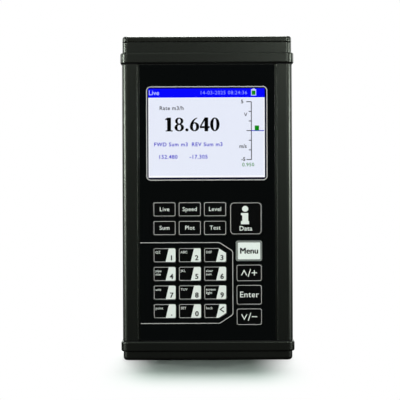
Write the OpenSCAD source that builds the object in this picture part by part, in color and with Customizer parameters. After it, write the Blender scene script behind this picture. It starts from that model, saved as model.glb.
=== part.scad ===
// Handheld ultrasonic flow meter: an extruded case closed by two moulded end caps, with a display,
// 23 keys that travel, and a hinged cover over the transducer sockets on the top end.
// Millimetres. The meter stands upright: X to the right, Y to the back, Z up, base centre at the origin.

/* [Case] */
// Width of the extruded case over its side faces
case_w = 102; // [90:0.5:120]
// Depth of the extruded case over its front and back rails
case_d = 38; // [34:0.5:50]
// Height of the whole meter, from its base to the top of the socket lid
overall_h = 194; // [176:1:240]
// Radius of the four long edges of the case
corner_r = 3.5; // [2.5:0.5:5]
// Wall of the extrusion
wall_t = 2; // [1.6:0.1:2.4]
// Depth of the shallow recess between the raised rails, front and back
recess_depth = 1; // [0.6:0.1:1.4]
// Width of a raised rail beside the shallow recess
rail_w = 9.3; // [7:0.1:11]
// Radius of a screw port's boss in a corner of the extrusion
port_r = 2.6; // [2.2:0.1:2.8]
// Radius of the hole down a screw port
port_hole_r = 1.35; // [1.1:0.05:1.5]

/* [End caps] */
// How far a cap's band stands proud of the case all round
band_proud = 1; // [0.5:0.1:2]
// Height of the top cap's band
top_band_h = 6.4; // [4:0.2:9]
// Height of the narrower tier above the top band
top_tier_h = 6.4; // [5:0.2:9]
// Height of the bottom cap's band
low_band_h = 6; // [4:0.2:9]
// Height of the narrower foot under the bottom band
foot_h = 5.4; // [4.4:0.2:8]
// Inset of the tier and the foot from the band
tier_inset = 1.3; // [1.1:0.1:2]
// Radius of the bands' rims
band_rim = 0.9; // [0.4:0.1:1]
// Radius of the foot's lower rim
foot_rim = 2; // [1:0.1:3]
// Depth to which a cap's skirt reaches into the case
skirt_h = 4.4; // [3:0.2:4.6]
// Wall of the skirts
skirt_t = 1.8; // [1.4:0.1:2.4]
// Thickness of the gaskets between the case and its caps
gasket_t = 0.5; // [0.3:0.1:1]

/* [Socket well and lid] */
// Solid end of the top tier beside the socket well
well_end = 9.7; // [9:0.1:13]
// Flat between the well's seal and the room for the hinge
seal_hinge_gap = 0.6; // [0.3:0.1:2]
// Depth of the socket well down to the socket plate
well_depth = 9; // [8.8:0.1:11]
// Thickness of the socket plate
plate_t = 1.5; // [1:0.1:2]
// Thickness of the lid
lid_h = 3.3; // [2.8:0.1:5]
// Radius of the lid's upper rim
lid_rim = 1.4; // [0.6:0.1:1.6]
// Seam between the lid and the tier under it
lid_seam = 0.3; // [0.2:0.05:0.5]
// Distance from each end of the tier to the hinge
hinge_end = 8.7; // [7:0.1:20]
// Number of hinge knuckles, cap and lid by turns
knuckles = 5; // [3:2:9]
// Outer radius of the hinge knuckles
knuckle_r = 2; // [1.8:0.1:2.1]
// Radius of the hinge pin
pin_r = 1; // [0.7:0.05:1.2]

/* [Sockets] */
// Bore radius of the two transducer sockets
sensor_bore_r = 3.6; // [3:0.1:4]
// Bore radius of the signal socket
signal_bore_r = 4.4; // [4:0.1:4.8]
// Bore radius of the charging socket
charge_bore_r = 2.75; // [2.5:0.05:3.2]
// Wall of a socket's barrel round its bore
barrel_wall = 1; // [0.8:0.1:1.2]
// Depth of every socket's bore
bore_depth = 6; // [5:0.25:6.25]
// Room for the plate's screws at each end of the well
socket_end_room = 4; // [3:0.1:6]

/* [Front panel and display] */
// Thickness of the printed front panel
panel_t = 0.5; // [0.3:0.05:0.55]
// Gap between the panel and the rail on each side
panel_side_gap = 1.3; // [0.3:0.1:2]
// Distance from the display's picture to the rail on each side
picture_side = 6.7; // [6.2:0.1:12]
// Height of the picture that the display shows
picture_h = 53.5; // [40:0.5:56]
// Distance from the top of the extrusion down to the picture
picture_top = 14.35; // [13:0.05:20]
// Thickness of the window pane where it is glued in
pane_t = 1.1; // [0.8:0.1:1.2]
// Thickness of the display module behind the pane
module_t = 3.3; // [2.6:0.1:4]

/* [Keys] */
// Distance from the field of keys to the rail on each side
key_field_side = 9.2; // [8.8:0.1:14]
// Height of the lowest key's edge above the lower end of the extrusion
key_field_rise = 9; // [8.8:0.1:14]
// Distance from the picture down to the highest key
keys_below_picture = 14.5; // [13.5:0.1:20]
// Gap between two keys of a row
key_gap_x = 1.5; // [1.2:0.05:2.4]
// Gap between two rows of keys
key_gap_z = 2.35; // [1.2:0.05:3]
// Height of the number keys above the lowest edge of the right-hand column
pad_rise = 4.2; // [3:0.1:6]
// Height of the right-hand column above the number keys
pad_fall = 4.1; // [3:0.1:6]
// Space between the number keys and the function keys
pad_gap = 7.45; // [5:0.05:10]
// Width of the keys in the right-hand column
side_key_w = 15.5; // [12:0.1:18]
// Space between the number keys and the right-hand column
side_key_space = 5.7; // [4:0.1:8]
// Gap between two keys of the right-hand column
side_key_gap = 1.95; // [1.2:0.05:3]
// Space between the function keys and the large data key
data_key_space = 2.1; // [1.2:0.1:4]
// How far a key stands out of the front panel at rest
key_proud = 0.4; // [0.2:0.05:0.5]
// Travel of a key
key_travel = 0.4; // [0.2:0.05:0.45]

/* [Power and boards] */
// Room between the main board and the battery cells
cell_room = 3.4; // [2:0.1:6]
// Height of the area of the main board that carries its rear parts
parts_h = 60.3; // [50:0.1:70]
// Number of battery cells side by side
cells = 3; // [1:1:4]
// Thickness of the circuit boards
board_t = 1.6; // [1:0.1:1.8]

/* [Hidden] */
$fn = 48;

// Overrun of every cut past the face that it opens
over = 1;
// Clearance of a part that is glued or laid in its pocket
lay_gap = 0.15;
// Clearance of a part that slides into the extrusion
slide_gap = 0.2;
// Least clearance between pieces that don't touch
air_gap = 0.5;
// Clearance of a fixing in its hole
small_fit = 0.05;

// Heights of the stack, from the base up
low_band_z = foot_h;
low_gasket_z = low_band_z + low_band_h;
case_z = low_gasket_z + gasket_t;
lid_z = overall_h - lid_h;
tier_top = lid_z - lid_seam;
tier_z = tier_top - top_tier_h;
top_band_z = tier_z - top_band_h;
case_top = top_band_z - gasket_t;
case_h = case_top - case_z;

// Widths and depths of the stack
recess_w = case_w - 2 * rail_w;
band_w = case_w + 2 * band_proud;
band_d = case_d + 2 * band_proud;
tier_w = band_w - 2 * tier_inset;
tier_d = band_d - 2 * tier_inset;
band_r = corner_r + band_proud;
tier_r = band_r - tier_inset;
tier_rim = 0.4;

// Depths of the front stack, from the panel back to the boards
rail_y = -case_d / 2;
recess_y = rail_y + recess_depth;
wall_y = recess_y + wall_t;
back_y = case_d / 2 - recess_depth - wall_t;
panel_y = recess_y - panel_t;
inner_w = case_w - 2 * wall_t;
inner_d = back_y - wall_y;
inner_r = 1.5;

// Screw ports: a boss in each inner corner, joined to both walls by a solid corner
port_inset = 3.4;
port_x = inner_w / 2 - port_inset;
port_y = inner_d / 2 - port_inset;
port_mid_y = (wall_y + back_y) / 2;

// Cap screws
screw_gap = 0.3;
screw_r = port_hole_r - small_fit;
screw_hole_r = screw_r + screw_gap;
screw_head_r = 2.5;
screw_head_h = 2.4;
screw_cover = 0.6;
screw_sink = screw_head_h + screw_cover;
screw_grip = 8;
sink_gap = 0.2;

// Small screws on the boards, the standoffs and the plate
small_screw_r = 0.8;
small_head_r = 1.6;
small_head_h = 1.1;
small_screw_len = 3;
drive_share = 0.55;
drive_depth_share = 0.6;

// Caps and gaskets
gasket_inset = 0.3;
skirt_w = 2 * (port_x - port_r - air_gap) - 2 * slide_gap;
skirt_d = inner_d - 2 * slide_gap;
skirt_r = inner_r;
foot_floor = 3.4;

// Lid hinge: the axis runs along X behind the well
hinge_gap = 0.3;
hinge_inset = 0.2;
hinge_rise = 1.1;
hinge_y = tier_d / 2 - knuckle_r - hinge_inset;
hinge_z = lid_z + hinge_rise;
hinge_len = tier_w - 2 * hinge_end;
knuckle_len = (hinge_len - (knuckles - 1) * hinge_gap) / knuckles;
knuckle_foot_r = sqrt(pow(knuckle_r, 2) + pow(hinge_z - tier_top, 2));
lid_d = hinge_y + tier_d / 2;
lip_gap = 0.3;
lip_t = 1.2;
lip_h = 1.4;
lid_skin = 1.6;

// Seal on the rim of the well
seal_inset = 0.4;
seal_t = 1.2;
seal_groove = 0.8;
seal_proud = 0.2;

// Socket well: a ledge carries the plate, and a smaller opening lets the tails through
well_w = tier_w - 2 * well_end;
well_d = 2 * (hinge_y - knuckle_r - hinge_gap - seal_hinge_gap - seal_t - seal_inset);
well_r = 3;
plate_gap = 0.2;
plate_top = tier_top - well_depth;
plate_z = plate_top - plate_t;
ledge_end = 4;
ledge_side = 2;
tail_w = well_w - 2 * ledge_end;
tail_d = well_d - 2 * ledge_side;
plate_screw_inset_x = 2.3;
plate_screw_inset_y = 3.4;
plate_screw_x = well_w / 2 - plate_screw_inset_x;
plate_screw_y = well_d / 2 - plate_screw_inset_y;
plate_head_r = 1.7;

// Sockets, from left to right along the plate
socket_bores = [sensor_bore_r, sensor_bore_r, signal_bore_r, charge_bore_r];
socket_pitch = (well_w - 2 * socket_end_room) / len(socket_bores);
thread_len = 4.4;
barrel_drop = 2.5;
barrel_h = well_depth - barrel_drop;
collar_wall = 1.2;
collar_h = 1;
nut_wall = 1.6;
nut_h = 2;
tail_r = 1.4;
tail_len = 2;
contact_r = 0.7;
contact_depth = 1.2;

// Display: the pane sits in a pocket, and the module lies behind the wall
picture_x = -0.4;
picture_w = recess_w - 2 * picture_side;
picture_z = case_top - picture_top - picture_h / 2;
frame_margin = 0.65;
window_w = picture_w + 2 * frame_margin;
window_h = picture_h + 2 * frame_margin;
window_r = 2;
pane_lap = 1.2;
pane_w = window_w + 2 * pane_lap;
pane_h = window_h + 2 * pane_lap;
film_gap = 0.3;
film_t = wall_t - pane_t - film_gap;
module_side = 3.45;
module_border = 5.2;
module_drop = 1.5;
module_w = picture_w + 2 * module_side;
module_h = picture_h + 2 * module_border;
module_r = 1;
module_z = picture_z - module_drop;
bracket_t = 0.8;
bracket_lap = 8;

// Panel, deck and key openings
panel_w = recess_w - 2 * panel_side_gap;
panel_end_gap = 0.2;
deck_margin = 2.5;
deck_lip = 1.5;
deck_lip_t = 1;
deck_r = 3;
panel_key_gap = 0.25;
deck_key_gap = 0.2;
key_field_w = recess_w - 2 * key_field_side;
deck_w = key_field_w + 2 * deck_margin;

// Keys fill the room that the picture leaves: rows count from the bottom, columns from the left
field_z = case_z + key_field_rise;
field_h = picture_z - picture_h / 2 - keys_below_picture - field_z;
key_w = (key_field_w - side_key_w - side_key_space - 2 * key_gap_x) / 3;
key_h = (field_h - pad_rise - pad_gap - 4 * key_gap_z) / 6;
key_pitch_x = key_w + key_gap_x;
key_pitch_z = key_h + key_gap_z;
key_r = 1.2;
key_rim = 0.3;
row0_z = field_z + pad_rise + key_h / 2;
function_row0_z = row0_z + 3 * key_pitch_z + key_h + pad_gap;
clip_shares = [0.346, 0.341];
side_key_shares = [0.228, 0.271, 0.228, 0.273];
side_key_room = pad_rise + 4 * key_h + 3 * key_gap_z + pad_fall - 3 * side_key_gap;
side_key_heights = side_key_room * side_key_shares;
side_key_r = 1.5;
data_key_w = key_field_w - 3 * key_pitch_x + key_gap_x - data_key_space;
data_key_inset = 0.275;
data_key_h = key_pitch_z + key_h - 2 * data_key_inset;
data_key_r = 2.4;

// Depths of a key, from its cap back to the dome under its stem
flange_lap = 0.5;
flange_gap = 0.1;
flange_t = 0.7;
stem_r = 1.25;
stem_gap = 0.05;
stem_len = 0.6;
dome_spare = 0.1;
dome_h = key_travel + dome_spare;
dome_r_share = 0.386;
dome_r = key_h * dome_r_share;
dome_t = 0.15;
crown_share = 0.53;
crown_r = dome_r * crown_share;
cap_y = panel_y - key_proud;
flange_y = wall_y + flange_gap;
stem_y = flange_y + flange_t;
dome_y = stem_y + stem_len;
key_board_y = dome_y + dome_h;

// Boards, their standoffs and their screws
standoff_r = 1.8;
standoff_gap = 0.3;
board_rim = 0.5;
deck_low_z = field_z - deck_margin;
deck_high_z = function_row0_z + key_pitch_z + key_h / 2 + deck_margin;
key_standoff_x = deck_w / 2 + deck_lip + standoff_gap + standoff_r;
key_board_w = 2 * (key_standoff_x + standoff_r + board_rim);
key_board_low = deck_low_z - deck_lip;
key_board_high = deck_high_z + deck_lip;
standoff_end = 4;
key_standoff_zs = [key_board_low + standoff_end, (key_board_low + key_board_high) / 2,
                   key_board_high - standoff_end];
module_standoff_x = module_w / 2 + standoff_gap + standoff_r;
module_standoff_end = 6;
module_standoff_z = module_h / 2 - module_standoff_end;
bracket_w = 2 * (module_standoff_x + standoff_r);
board_setback = 7.5;
board_y = wall_y + board_setback;
board_back = board_y + board_t;
board_end_gap = 0.6;
board_low = case_z + skirt_h + board_end_gap;
board_high = case_top - skirt_h - board_end_gap;
board_w = inner_w - 2 * slide_gap;
rib_reach = 2.2;
rib_t = 1.2;
board_h = board_high - board_low;

// Leads from the sockets down, round a bend and forward into their plugs on the main board
lead_r = 1;
lead_drop = 12;
lead_plug_r = 1.7;
lead_plug_h = 2;
lead_bend_share = 0.7;
lead_bend_r = -(board_back + lead_plug_h) * lead_bend_share;
lead_bend_z = plate_z - thread_len - tail_len - lead_drop;
lead_plug_z = lead_bend_z - lead_bend_r;

// Rear parts of the main board, in the area under the plugs
part_gap = 0.5;
part_rise = 4.6;
parts_top = lead_plug_z - lead_plug_r - part_gap;
parts_low = parts_top - parts_h;
// Each block's place across and up the area, its width, its height and how far it rises
rear_part_shares = [
    [-0.205, 0.713, 0.348, 0.367, 0.87],
    [0.143, 0.413, 0.164, 0.267, 0.304],
    [0.328, 0.347, 0.102, 0.133, 0.26],
    [0.143, 0.78, 0.082, 0.2, 0.348],
    [-0.307, 0.213, 0.143, 0.1, 1],
    [0.328, 0.68, 0.123, 0.15, 0.522]
];
coil_r = 3.2;
coil_h = 3;
coil_shares = [[0.307, 0.93], [0.4, 0.93]];
beeper_r = 6;
beeper_h = 5;
beeper_shares = [0.389, 0.147];

// Front parts of the main board, as shares of the whole board, and the ribbons' connectors
front_part_shares = [
    [-0.287, 0.412, 0.092, 0.058, 0.26],
    [0.277, 0.451, 0.072, 0.045, 0.217]
];
connector_h = 4;
connector_t = 1.4;
connector_side = 1;
display_connector_share = 0.387;
keypad_connector_share = 0.052;
ribbon_t = 0.3;
display_ribbon_w = 20;
keypad_ribbon_w = 14;
keypad_ribbon_rise = 32;
ribbon_steps = 12;

// Battery: the cells stand in a cradle on the back wall and fill the room behind the board
cell_gap = 0.8;
cradle_t = 1.2;
cradle_low = 10;
cradle_wrap_share = 0.45;
cradle_end = 1.6;
cradle_z = board_low + cradle_low;
cell_d = back_y - cradle_t - cell_room - board_back;
cell_len = parts_low - part_gap - cradle_z - 2 * cradle_end;
cell_pitch = cell_d + cell_gap;
cell_y = back_y - cradle_t - cell_d / 2;
cell_rim = 0.8;
terminal_r = 2.8;
terminal_h = 1;
cradle_w = cells * cell_pitch + 2 * cradle_t;

// Colours
case_black = "#232622";
cap_black = "#262925";
panel_black = "#0b0d0d";
key_black = "#101212";
key_white = "#dee3df";
seal_black = "#151515";
steel = "#b4b8bb";
nickel = "#c9c7bf";
board_green = "#1f5b36";

digit_names = ["key_1", "key_2", "key_3", "key_4", "key_5", "key_6",
               "key_7", "key_8", "key_9", "key_dot", "key_0", "key_back"];
function_names = ["key_live", "key_speed", "key_level", "key_sum", "key_plot", "key_test"];
side_names = ["key_down", "key_enter", "key_up", "key_menu"];

// Centre of a key column counted from the left
function column_x(i) = -key_field_w / 2 + key_w / 2 + i * key_pitch_x;
// Lower edge of a key in the right-hand column, counted from the bottom
function side_low(i) = i == 0 ? field_z : side_low(i - 1) + side_key_heights[i - 1] + side_key_gap;
// Which corner of a number key follows the slanted line round the pad: 1 upper right, -1 lower right
function clip_of(name) = name == "key_3" ? 1 : name == "key_back" ? -1 : 0;
// Centre of a socket along the plate
function socket_x(i) = (i - (len(socket_bores) - 1) / 2) * socket_pitch;
// Left end of a hinge knuckle
function knuckle_x(i) = -hinge_len / 2 + i * (knuckle_len + hinge_gap);
// Height of a ribbon's connector, up the main board by its share
function connector_z(share) = board_low + share * board_h;
// A smooth rise from 0 to 1
function ease(t) = t * t * (3 - 2 * t);

// Every key: its name, centre x, centre z, width, height, corner radius and clipped corner
KEYS = concat(
    [for (i = [0 : len(digit_names) - 1])
        [digit_names[i], column_x(i % 3), row0_z + (3 - floor(i / 3)) * key_pitch_z,
         key_w, key_h, key_r, clip_of(digit_names[i])]],
    [for (i = [0 : len(function_names) - 1])
        [function_names[i], column_x(i % 3), function_row0_z + (1 - floor(i / 3)) * key_pitch_z,
         key_w, key_h, key_r, 0]],
    [for (i = [0 : len(side_names) - 1])
        [side_names[i], (key_field_w - side_key_w) / 2, side_low(i) + side_key_heights[i] / 2,
         side_key_w, side_key_heights[i], side_key_r, 0]],
    [["key_data", (key_field_w - data_key_w) / 2, function_row0_z + key_pitch_z / 2,
      data_key_w, data_key_h, data_key_r, 0]]
);

// Flat rectangle with round corners, centred
module rounded_square(w, h, r) {
    square([w - 2 * r, h], center = true);
    square([w, h - 2 * r], center = true);
    for (x = [-1, 1], y = [-1, 1])
        translate([x * (w / 2 - r), y * (h / 2 - r)])
            circle(r);
}

// Round rim at the outer end of a section: a quarter disc beside the rest of its layer
module round_rim(r, rim) {
    square([r - rim, rim]);
    translate([r - rim, 0])
        intersection() {
            circle(rim);
            square(rim);
        }
}

// Section of a slab's edge from its corner's centre out, with a round upper or lower rim
module rim_section(r, h, upper, lower) {
    translate([0, lower])
        square([r, h - upper - lower]);
    if (upper > 0)
        translate([0, h - upper])
            round_rim(r, upper);
    if (lower > 0)
        translate([0, lower])
            mirror([0, 1])
                round_rim(r, lower);
}

// Slab on z = 0 with round corners and round rims: the edge section swept round its outline
module soft_slab(w, d, h, r, upper = 0, lower = 0) {
    translate([r - w / 2, r - d / 2, 0])
        cube([w - 2 * r, d - 2 * r, h]);
    for (i = [0 : 3]) {
        side = i % 2 == 0 ? [w / 2 - r, d / 2 - r] : [d / 2 - r, w / 2 - r];
        rotate([0, 0, i * 90]) {
            translate([side[0], side[1], 0])
                rotate([90, 0, 0])
                    linear_extrude(2 * side[1])
                        rim_section(r, h, upper, lower);
            translate([side[0], side[1], 0])
                rotate_extrude(angle = 90)
                    rim_section(r, h, upper, lower);
        }
    }
}

// Stands a flat outline in the XZ plane, filling from the depth y0 back to y1
module upright(y0, y1) {
    translate([0, y1, 0])
        rotate([90, 0, 0])
            linear_extrude(y1 - y0)
                children();
}

// Lays a cylinder along Y from the depth y0 back to y1
module rod_y(r, y0, y1) {
    translate([0, y1, 0])
        rotate([90, 0, 0])
            cylinder(r = r, h = y1 - y0);
}

// Lays a cylinder along X from x0 to x1
module rod_x(r, x0, x1) {
    translate([x0, 0, 0])
        rotate([0, 90, 0])
            cylinder(r = r, h = x1 - x0);
}

// Repeats its children at the four screw ports, mirrored so that each has its corner on +X and +Y
module at_ports() {
    for (x = [0, 1], y = [0, 1])
        translate([0, port_mid_y])
            mirror([x, 0])
                mirror([0, y])
                    translate([port_x, port_y])
                        children();
}

// Boss of a screw port with the solid corner that joins it to the walls
module port_boss() {
    circle(port_r);
    square(port_inset + wall_t / 2);
}

// Screw standing head up on z = 0, with a hexagonal drive in its head
module screw(shank_r, length, head_r, head_h) {
    translate([0, 0, -length])
        cylinder(r = shank_r, h = length);
    difference() {
        cylinder(r = head_r, h = head_h);
        translate([0, 0, head_h * (1 - drive_depth_share)])
            cylinder(r = head_r * drive_share, h = head_h, $fn = 6);
    }
}

// Outline of the case, drawn in from its real edge by inset
module case_outline(inset) {
    difference() {
        rounded_square(case_w - 2 * inset, case_d - 2 * inset, corner_r - inset);
        for (y = [-1, 1])
            translate([-recess_w / 2 - inset, y * (case_d / 2 - recess_depth - inset) - (y < 0 ? over : 0)])
                translate([0, y < 0 ? -recess_depth : 0])
                    square([recess_w + 2 * inset, recess_depth + over]);
    }
}

// Walls and screw ports of the case as a flat section
module case_section(inset, hole_r) {
    difference() {
        union() {
            difference() {
                case_outline(inset);
                translate([0, port_mid_y])
                    rounded_square(inner_w, inner_d, inner_r);
            }
            at_ports()
                port_boss();
        }
        at_ports()
            circle(hole_r);
    }
}

// Pair of ribs that guides one edge of the main board
module board_slot() {
    for (y = [board_y - slide_gap - rib_t, board_back + slide_gap])
        translate([inner_w / 2 - rib_reach, y])
            square([rib_reach + over / 2, rib_t]);
}

module case_extrusion() {
    color(case_black)
        difference() {
            translate([0, 0, case_z])
                linear_extrude(case_h) {
                    case_section(0, port_hole_r);
                    board_slot();
                    mirror([1, 0])
                        board_slot();
                }
            // Pocket for the window pane, and the smaller opening behind it
            translate([picture_x, 0, picture_z]) {
                upright(recess_y - over, recess_y + pane_t)
                    rounded_square(pane_w + 2 * lay_gap, pane_h + 2 * lay_gap, window_r + pane_lap);
                upright(recess_y - over, wall_y + over)
                    rounded_square(window_w, window_h, window_r);
            }
            // Opening for the key deck
            translate([0, 0, (deck_low_z + deck_high_z) / 2])
                upright(recess_y - over, wall_y + over)
                    rounded_square(deck_w + 2 * lay_gap, deck_high_z - deck_low_z + 2 * lay_gap, deck_r);
        }
}

// Outline of a key's cap, grown by the gap round it
module key_outline(k, grow) {
    w = k[3] + 2 * grow;
    h = k[4] + 2 * grow;
    clip = k[6];
    difference() {
        rounded_square(w, h, k[5] + grow);
        if (clip != 0)
            corner_past_clip(w, h, clip);
    }
}

// Triangle past the slanted corner of a key
module corner_past_clip(w, h, side) {
    clip_w = key_w * clip_shares[0];
    clip_h = key_h * clip_shares[1];
    polygon([
        [w / 2 - clip_w, side * h / 2],
        [w / 2 - clip_w, side * (h / 2 + over)],
        [w / 2 + over, side * (h / 2 + over)],
        [w / 2 + over, side * (h / 2 - clip_h)],
        [w / 2, side * (h / 2 - clip_h)]
    ]);
}

// Cuts the openings of all the keys through a sheet from the depth y0 back to y1
module key_openings(y0, y1, grow) {
    for (k = KEYS)
        translate([k[1], 0, k[2]])
            upright(y0, y1)
                key_outline(k, grow);
}

module front_panel() {
    color(panel_black)
        difference() {
            translate([-panel_w / 2, panel_y, case_z + panel_end_gap])
                cube([panel_w, panel_t, case_h - 2 * panel_end_gap]);
            translate([picture_x, 0, picture_z])
                upright(panel_y - over, recess_y + over)
                    rounded_square(window_w, window_h, window_r);
            key_openings(panel_y - over, recess_y + over, panel_key_gap);
        }
}

// Clear pane: a plate in the wall's pocket, with a raised centre that fills the panel's window
module display_window() {
    color([0.75, 0.82, 0.85, 0.35])
        translate([picture_x, 0, picture_z]) {
            upright(recess_y, recess_y + pane_t)
                rounded_square(pane_w, pane_h, window_r + pane_lap);
            upright(panel_y, recess_y)
                rounded_square(window_w - 2 * lay_gap, window_h - 2 * lay_gap, window_r);
        }
}

// Moulded plate that fills the wall's keypad opening and guides the keys
module key_deck() {
    deck_h = deck_high_z - deck_low_z;
    color(panel_black)
        difference() {
            translate([0, 0, (deck_low_z + deck_high_z) / 2]) {
                upright(recess_y, wall_y)
                    rounded_square(deck_w, deck_h, deck_r);
                difference() {
                    upright(wall_y, wall_y + deck_lip_t)
                        rounded_square(deck_w + 2 * deck_lip, deck_h + 2 * deck_lip, deck_r);
                    upright(wall_y - over, wall_y + deck_lip_t + over)
                        rounded_square(deck_w - deck_lip, deck_h - deck_lip, deck_r);
                }
            }
            key_openings(recess_y - over, wall_y + over / 2, deck_key_gap);
        }
}

// Key with its face towards -Y: a cap, a flange that holds it behind the deck, and a stem
module key(k) {
    white = k[0] == "key_menu";
    color(white ? key_white : key_black)
        translate([k[1], 0, k[2]]) {
            intersection() {
                translate([0, flange_y, 0])
                    rotate([90, 0, 0])
                        soft_slab(k[3], k[4], flange_y - cap_y, k[5], key_rim);
                if (k[6] != 0)
                    upright(cap_y - over, flange_y + over)
                        key_outline(k, 0);
            }
            upright(flange_y, stem_y)
                square([k[3] + 2 * flange_lap, k[4] + 2 * flange_lap], center = true);
            rod_y(stem_r, stem_y, dome_y - stem_gap);
        }
}

// Block that a cap reaches into the case with, or the hollow inside its skirt, from z0 up to z1
module skirt_block(z0, z1, wall) {
    translate([0, port_mid_y, z0])
        linear_extrude(z1 - z0)
            rounded_square(skirt_w - 2 * wall, skirt_d - 2 * wall, skirt_r);
}

// One knuckle of the hinge on its foot, from the left end along X
module cap_knuckle() {
    rotate([90, 0, 90])
        linear_extrude(knuckle_len) {
            circle(knuckle_r);
            translate([-knuckle_r, tier_top - tier_rim - hinge_z])
                square([2 * knuckle_r, hinge_z - tier_top + tier_rim]);
        }
}

module top_cap() {
    boss_r = skirt_t + small_screw_r;
    color(cap_black)
        difference() {
            union() {
                translate([0, 0, top_band_z])
                    soft_slab(band_w, band_d, top_band_h, band_r, band_rim, band_rim);
                translate([0, 0, tier_z])
                    soft_slab(tier_w, tier_d, top_tier_h, tier_r, tier_rim);
                difference() {
                    skirt_block(case_top - skirt_h, top_band_z + over, 0);
                    skirt_block(case_top - skirt_h - over, top_band_z, skirt_t);
                }
                for (x = [-1, 1], y = [-1, 1])
                    translate([x * plate_screw_x, y * plate_screw_y, case_top - skirt_h])
                        cylinder(r = boss_r, h = skirt_h + gasket_t + over);
                for (i = [0 : 2 : knuckles - 1])
                    translate([knuckle_x(i), hinge_y, hinge_z])
                        cap_knuckle();
            }
            // Well down to the plate's seat, and the opening under it for the sockets' tails
            translate([0, 0, plate_z])
                linear_extrude(tier_top - plate_z + over)
                    rounded_square(well_w, well_d, well_r);
            translate([0, 0, top_band_z - over])
                linear_extrude(plate_z - top_band_z + 2 * over)
                    rounded_square(tail_w, tail_d, well_r);
            for (x = [-1, 1], y = [-1, 1])
                translate([x * plate_screw_x, y * plate_screw_y, plate_z - small_screw_len - over])
                    cylinder(r = small_screw_r + small_fit, h = small_screw_len + 2 * over);
            // Groove of the lid's seal
            translate([0, 0, tier_top - seal_groove])
                linear_extrude(seal_groove + over)
                    seal_ring(0);
            // Room for the lid's knuckles
            for (i = [1 : 2 : knuckles - 1])
                translate([knuckle_x(i) - hinge_gap, hinge_y - knuckle_r - hinge_gap,
                           hinge_z - knuckle_r - hinge_gap])
                    cube([knuckle_len + 2 * hinge_gap, tier_d, tier_d]);
            translate([0, hinge_y, hinge_z])
                rod_x(pin_r, -hinge_len, hinge_len);
            // Sunk screw holes down to the case
            at_ports() {
                translate([0, 0, top_band_z - over])
                    cylinder(r = screw_hole_r, h = tier_top - top_band_z + 2 * over);
                translate([0, 0, tier_top - screw_sink])
                    cylinder(r = screw_head_r + sink_gap, h = screw_sink + over);
            }
        }
}

// Ring round the well that the lid closes on, as a flat outline
module seal_ring(inset) {
    w = well_w + 2 * seal_inset;
    d = well_d + 2 * seal_inset;
    difference() {
        rounded_square(w + 2 * (seal_t - inset), d + 2 * (seal_t - inset), well_r + seal_t);
        rounded_square(w + 2 * inset, d + 2 * inset, well_r + seal_inset);
    }
}

module lid_seal() {
    color(seal_black)
        translate([0, 0, tier_top - seal_groove])
            linear_extrude(seal_groove + seal_proud)
                seal_ring(small_fit);
}

module socket_lid() {
    lip_w = well_w - 2 * lip_gap;
    lip_d = well_d - 2 * lip_gap;
    color(cap_black)
        difference() {
            union() {
                translate([0, (hinge_y - tier_d / 2) / 2, lid_z])
                    soft_slab(tier_w, lid_d, lid_h, tier_r, lid_rim);
                // Lip that centres the lid in the well
                translate([0, 0, lid_z - lip_h])
                    linear_extrude(lip_h + lid_h / 2)
                        rounded_square(lip_w, lip_d, well_r - lip_gap);
                for (i = [1 : 2 : knuckles - 1])
                    translate([0, hinge_y, hinge_z])
                        rod_x(knuckle_r, knuckle_x(i), knuckle_x(i) + knuckle_len);
            }
            // Hollow under the lid over the sockets
            translate([0, 0, lid_z - lip_h - over])
                linear_extrude(lip_h + over + lid_h - lid_skin)
                    rounded_square(lip_w - 2 * lip_t, lip_d - 2 * lip_t, well_r - lip_gap);
            for (i = [0 : 2 : knuckles - 1])
                translate([0, hinge_y, hinge_z])
                    rod_x(knuckle_foot_r + hinge_gap, knuckle_x(i) - hinge_gap,
                          knuckle_x(i) + knuckle_len + hinge_gap);
            translate([0, hinge_y, hinge_z])
                rod_x(pin_r, -hinge_len, hinge_len);
        }
}

module lid_hinge_pin() {
    color(steel)
        translate([0, hinge_y, hinge_z])
            rod_x(pin_r, -hinge_len / 2, hinge_len / 2);
}

module top_gasket() {
    color(seal_black)
        translate([0, 0, case_top])
            linear_extrude(gasket_t)
                case_section(gasket_inset, screw_hole_r);
}

module top_cap_screws() {
    seat = tier_top - screw_sink;
    color(nickel)
        translate([0, 0, seat])
            at_ports()
                screw(screw_r, seat - case_top + screw_grip, screw_head_r, screw_head_h);
}

// Plate on the well's ledge, with a hole for each socket and sunk holes for its screws
module socket_plate() {
    color(nickel)
        difference() {
            translate([0, 0, plate_z])
                linear_extrude(plate_t)
                    rounded_square(well_w - 2 * plate_gap, well_d - 2 * plate_gap, well_r - plate_gap);
            for (i = [0 : len(socket_bores) - 1])
                translate([socket_x(i), 0, plate_z - over])
                    cylinder(r = socket_bores[i] + barrel_wall + small_fit, h = plate_t + 2 * over);
            for (x = [-1, 1], y = [-1, 1])
                translate([x * plate_screw_x, y * plate_screw_y, plate_z]) {
                    translate([0, 0, -over])
                        cylinder(r = small_screw_r + small_fit, h = plate_t + 2 * over);
                    translate([0, 0, plate_t - small_head_h])
                        cylinder(r = plate_head_r, h = small_head_h + over);
                }
        }
}

module plate_screws() {
    seat = plate_top - small_head_h;
    color(steel)
        for (x = [-1, 1], y = [-1, 1])
            translate([x * plate_screw_x, y * plate_screw_y, seat])
                screw(small_screw_r, small_screw_len, plate_head_r - small_fit, small_head_h);
}

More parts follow.
